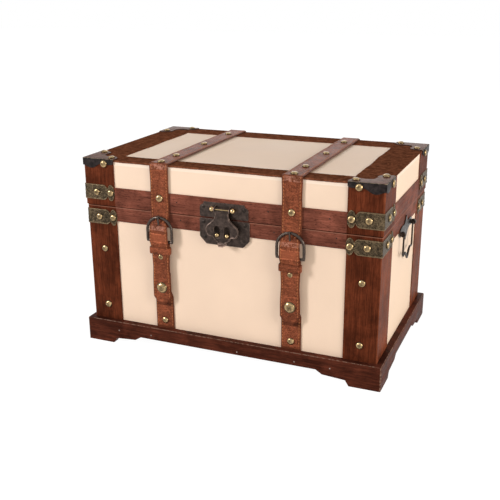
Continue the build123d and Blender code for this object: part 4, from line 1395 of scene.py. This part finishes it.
def show_white(tree, plain, white, share, output):
    """Shows a white shader to the camera, glosses and clear surfaces, and a plain one to all other light."""
    path = tree.node("ShaderNodeLightPath").outputs
    seen = tree.either(path["Is Camera Ray"], path["Is Glossy Ray"])
    seen = tree.either(seen, path["Is Transmission Ray"])
    both = tree.node("ShaderNodeMixShader")
    tree.put(both.inputs[0], tree.times(seen, share))
    tree.put(both.inputs[1], plain.outputs[0])
    tree.put(both.inputs[2], white.outputs[0])
    tree.put(tree.nodes[output].inputs["Surface"], both.outputs[0])


def make_floor():
    """A wide pale floor that shows white, and still takes a soft shadow under the box."""
    mesh = bpy.data.meshes.new("studio_floor")
    corners = [(sx * FLOOR_REACH, sy * FLOOR_REACH, 0) for sx, sy in ((-1, -1), (1, -1), (1, 1), (-1, 1))]
    mesh.from_pydata(corners, [], [(0, 1, 2, 3)])
    floor = bpy.data.objects.new("studio_floor", mesh)
    bpy.context.scene.collection.objects.link(floor)
    paper = Finish("studio_paper")
    mesh.materials.append(paper.done(FLOOR_COLOUR, 0.9, specular=0.0))
    glow = paper.node("ShaderNodeEmission")
    glow.inputs["Color"].default_value = WHITE
    glow.inputs["Strength"].default_value = FLOOR_GLOW
    show_white(paper, paper.shader, glow, FLOOR_SHARE, "Material Output")


def make_world():
    """Even soft light all round, shown as white."""
    world = bpy.data.worlds.new("studio_world")
    bpy.context.scene.world = world
    tree = Tree(world)
    light = tree.nodes["Background"]
    light.inputs["Color"].default_value = WORLD_COLOUR
    light.inputs["Strength"].default_value = WORLD_STRENGTH
    white = tree.node("ShaderNodeBackground")
    white.inputs["Color"].default_value = WHITE
    show_white(tree, light, white, 1.0, "World Output")


def make_stage():
    """Camera, lamps, floor and world."""
    make_camera()
    for lamp in LAMPS:
        make_lamp(*lamp)
    make_floor()
    make_world()
    bpy.context.scene.view_settings.view_transform = "Standard"


# Operators, in the order that main calls them


class BOX_OT_stage(bpy.types.Operator):
    """Adds the camera, lamps, floor and world"""

    bl_idname = "box.stage"
    bl_label = "Set up the stage"

    def execute(self, context):
        make_stage()
        return {"FINISHED"}


class BOX_OT_wood(bpy.types.Operator):
    """Gives every frame node its finish"""

    bl_idname = "box.wood"
    bl_label = "Finish boards and skins"

    def execute(self, context):
        dress_nodes()
        return {"FINISHED"}


class BOX_OT_straps(bpy.types.Operator):
    """Builds the leather straps, tabs and keepers"""

    bl_idname = "box.straps"
    bl_label = "Make straps"

    def execute(self, context):
        make_straps()
        return {"FINISHED"}


class BOX_OT_buckles(bpy.types.Operator):
    """Builds the buckle frames and prongs"""

    bl_idname = "box.buckles"
    bl_label = "Make buckles"

    def execute(self, context):
        make_buckles()
        return {"FINISHED"}


class BOX_OT_snaps(bpy.types.Operator):
    """Builds the snap caps and rivets"""

    bl_idname = "box.snaps"
    bl_label = "Make snaps"

    def execute(self, context):
        make_snaps()
        return {"FINISHED"}


class BOX_OT_corner_straps(bpy.types.Operator):
    """Builds the embossed brass straps"""

    bl_idname = "box.corner_straps"
    bl_label = "Make corner straps"

    def execute(self, context):
        make_corner_straps()
        return {"FINISHED"}


class BOX_OT_corner_caps(bpy.types.Operator):
    """Builds the lid's metal corner caps"""

    bl_idname = "box.corner_caps"
    bl_label = "Make corner caps"

    def execute(self, context):
        make_corner_caps()
        return {"FINISHED"}


class BOX_OT_edging(bpy.types.Operator):
    """Builds the brown strips round the lid's top"""

    bl_idname = "box.edging"
    bl_label = "Make lid edging"

    def execute(self, context):
        make_edging()
        return {"FINISHED"}


class BOX_OT_brads(bpy.types.Operator):
    """Builds the brads and the dark tack"""

    bl_idname = "box.brads"
    bl_label = "Make brads"

    def execute(self, context):
        make_brads()
        return {"FINISHED"}


class BOX_OT_nails(bpy.types.Operator):
    """Builds the domed nails"""

    bl_idname = "box.nails"
    bl_label = "Make nails"

    def execute(self, context):
        make_nails()
        return {"FINISHED"}


class BOX_OT_latch(bpy.types.Operator):
    """Builds the latch plates, pin, studs and hasp, and the hinges' pin heads"""

    bl_idname = "box.latch"
    bl_label = "Make latch"

    def execute(self, context):
        make_latch()
        make_hinge_pin_heads()
        return {"FINISHED"}


class BOX_OT_handles(bpy.types.Operator):
    """Builds the handle plates and bails"""

    bl_idname = "box.handles"
    bl_label = "Make side handles"

    def execute(self, context):
        make_handles()
        return {"FINISHED"}


OPERATORS = [
    BOX_OT_stage, BOX_OT_wood, BOX_OT_straps, BOX_OT_buckles, BOX_OT_snaps, BOX_OT_corner_straps,
    BOX_OT_corner_caps, BOX_OT_edging, BOX_OT_brads, BOX_OT_nails, BOX_OT_latch, BOX_OT_handles,
]


class BOX_PT_panel(bpy.types.Panel):
    """Lists the box's piece groups."""

    bl_label = "Keepsake Box"
    bl_idname = "BOX_PT_panel"
    bl_space_type = "VIEW_3D"
    bl_region_type = "UI"
    bl_category = "Keepsake Box"

    def draw(self, context):
        for operator in OPERATORS:
            self.layout.operator(operator.bl_idname)


CLASSES = [BoxSizes, BoxColours, *OPERATORS, BOX_PT_panel]


def register():
    """Adds the classes, and the sizes and colours that the scene carries."""
    for one in CLASSES:
        bpy.utils.register_class(one)
    bpy.types.Scene.box_sizes = PointerProperty(type=BoxSizes)
    bpy.types.Scene.box_colours = PointerProperty(type=BoxColours)


def unregister():
    """Takes away what register adds."""
    del bpy.types.Scene.box_colours
    del bpy.types.Scene.box_sizes
    for one in reversed(CLASSES):
        bpy.utils.unregister_class(one)


def main():
    """Builds every piece."""
    register()
    for operator in OPERATORS:
        getattr(bpy.ops.box, operator.bl_idname.split(".")[1])()


if __name__ == "__main__":
    main()
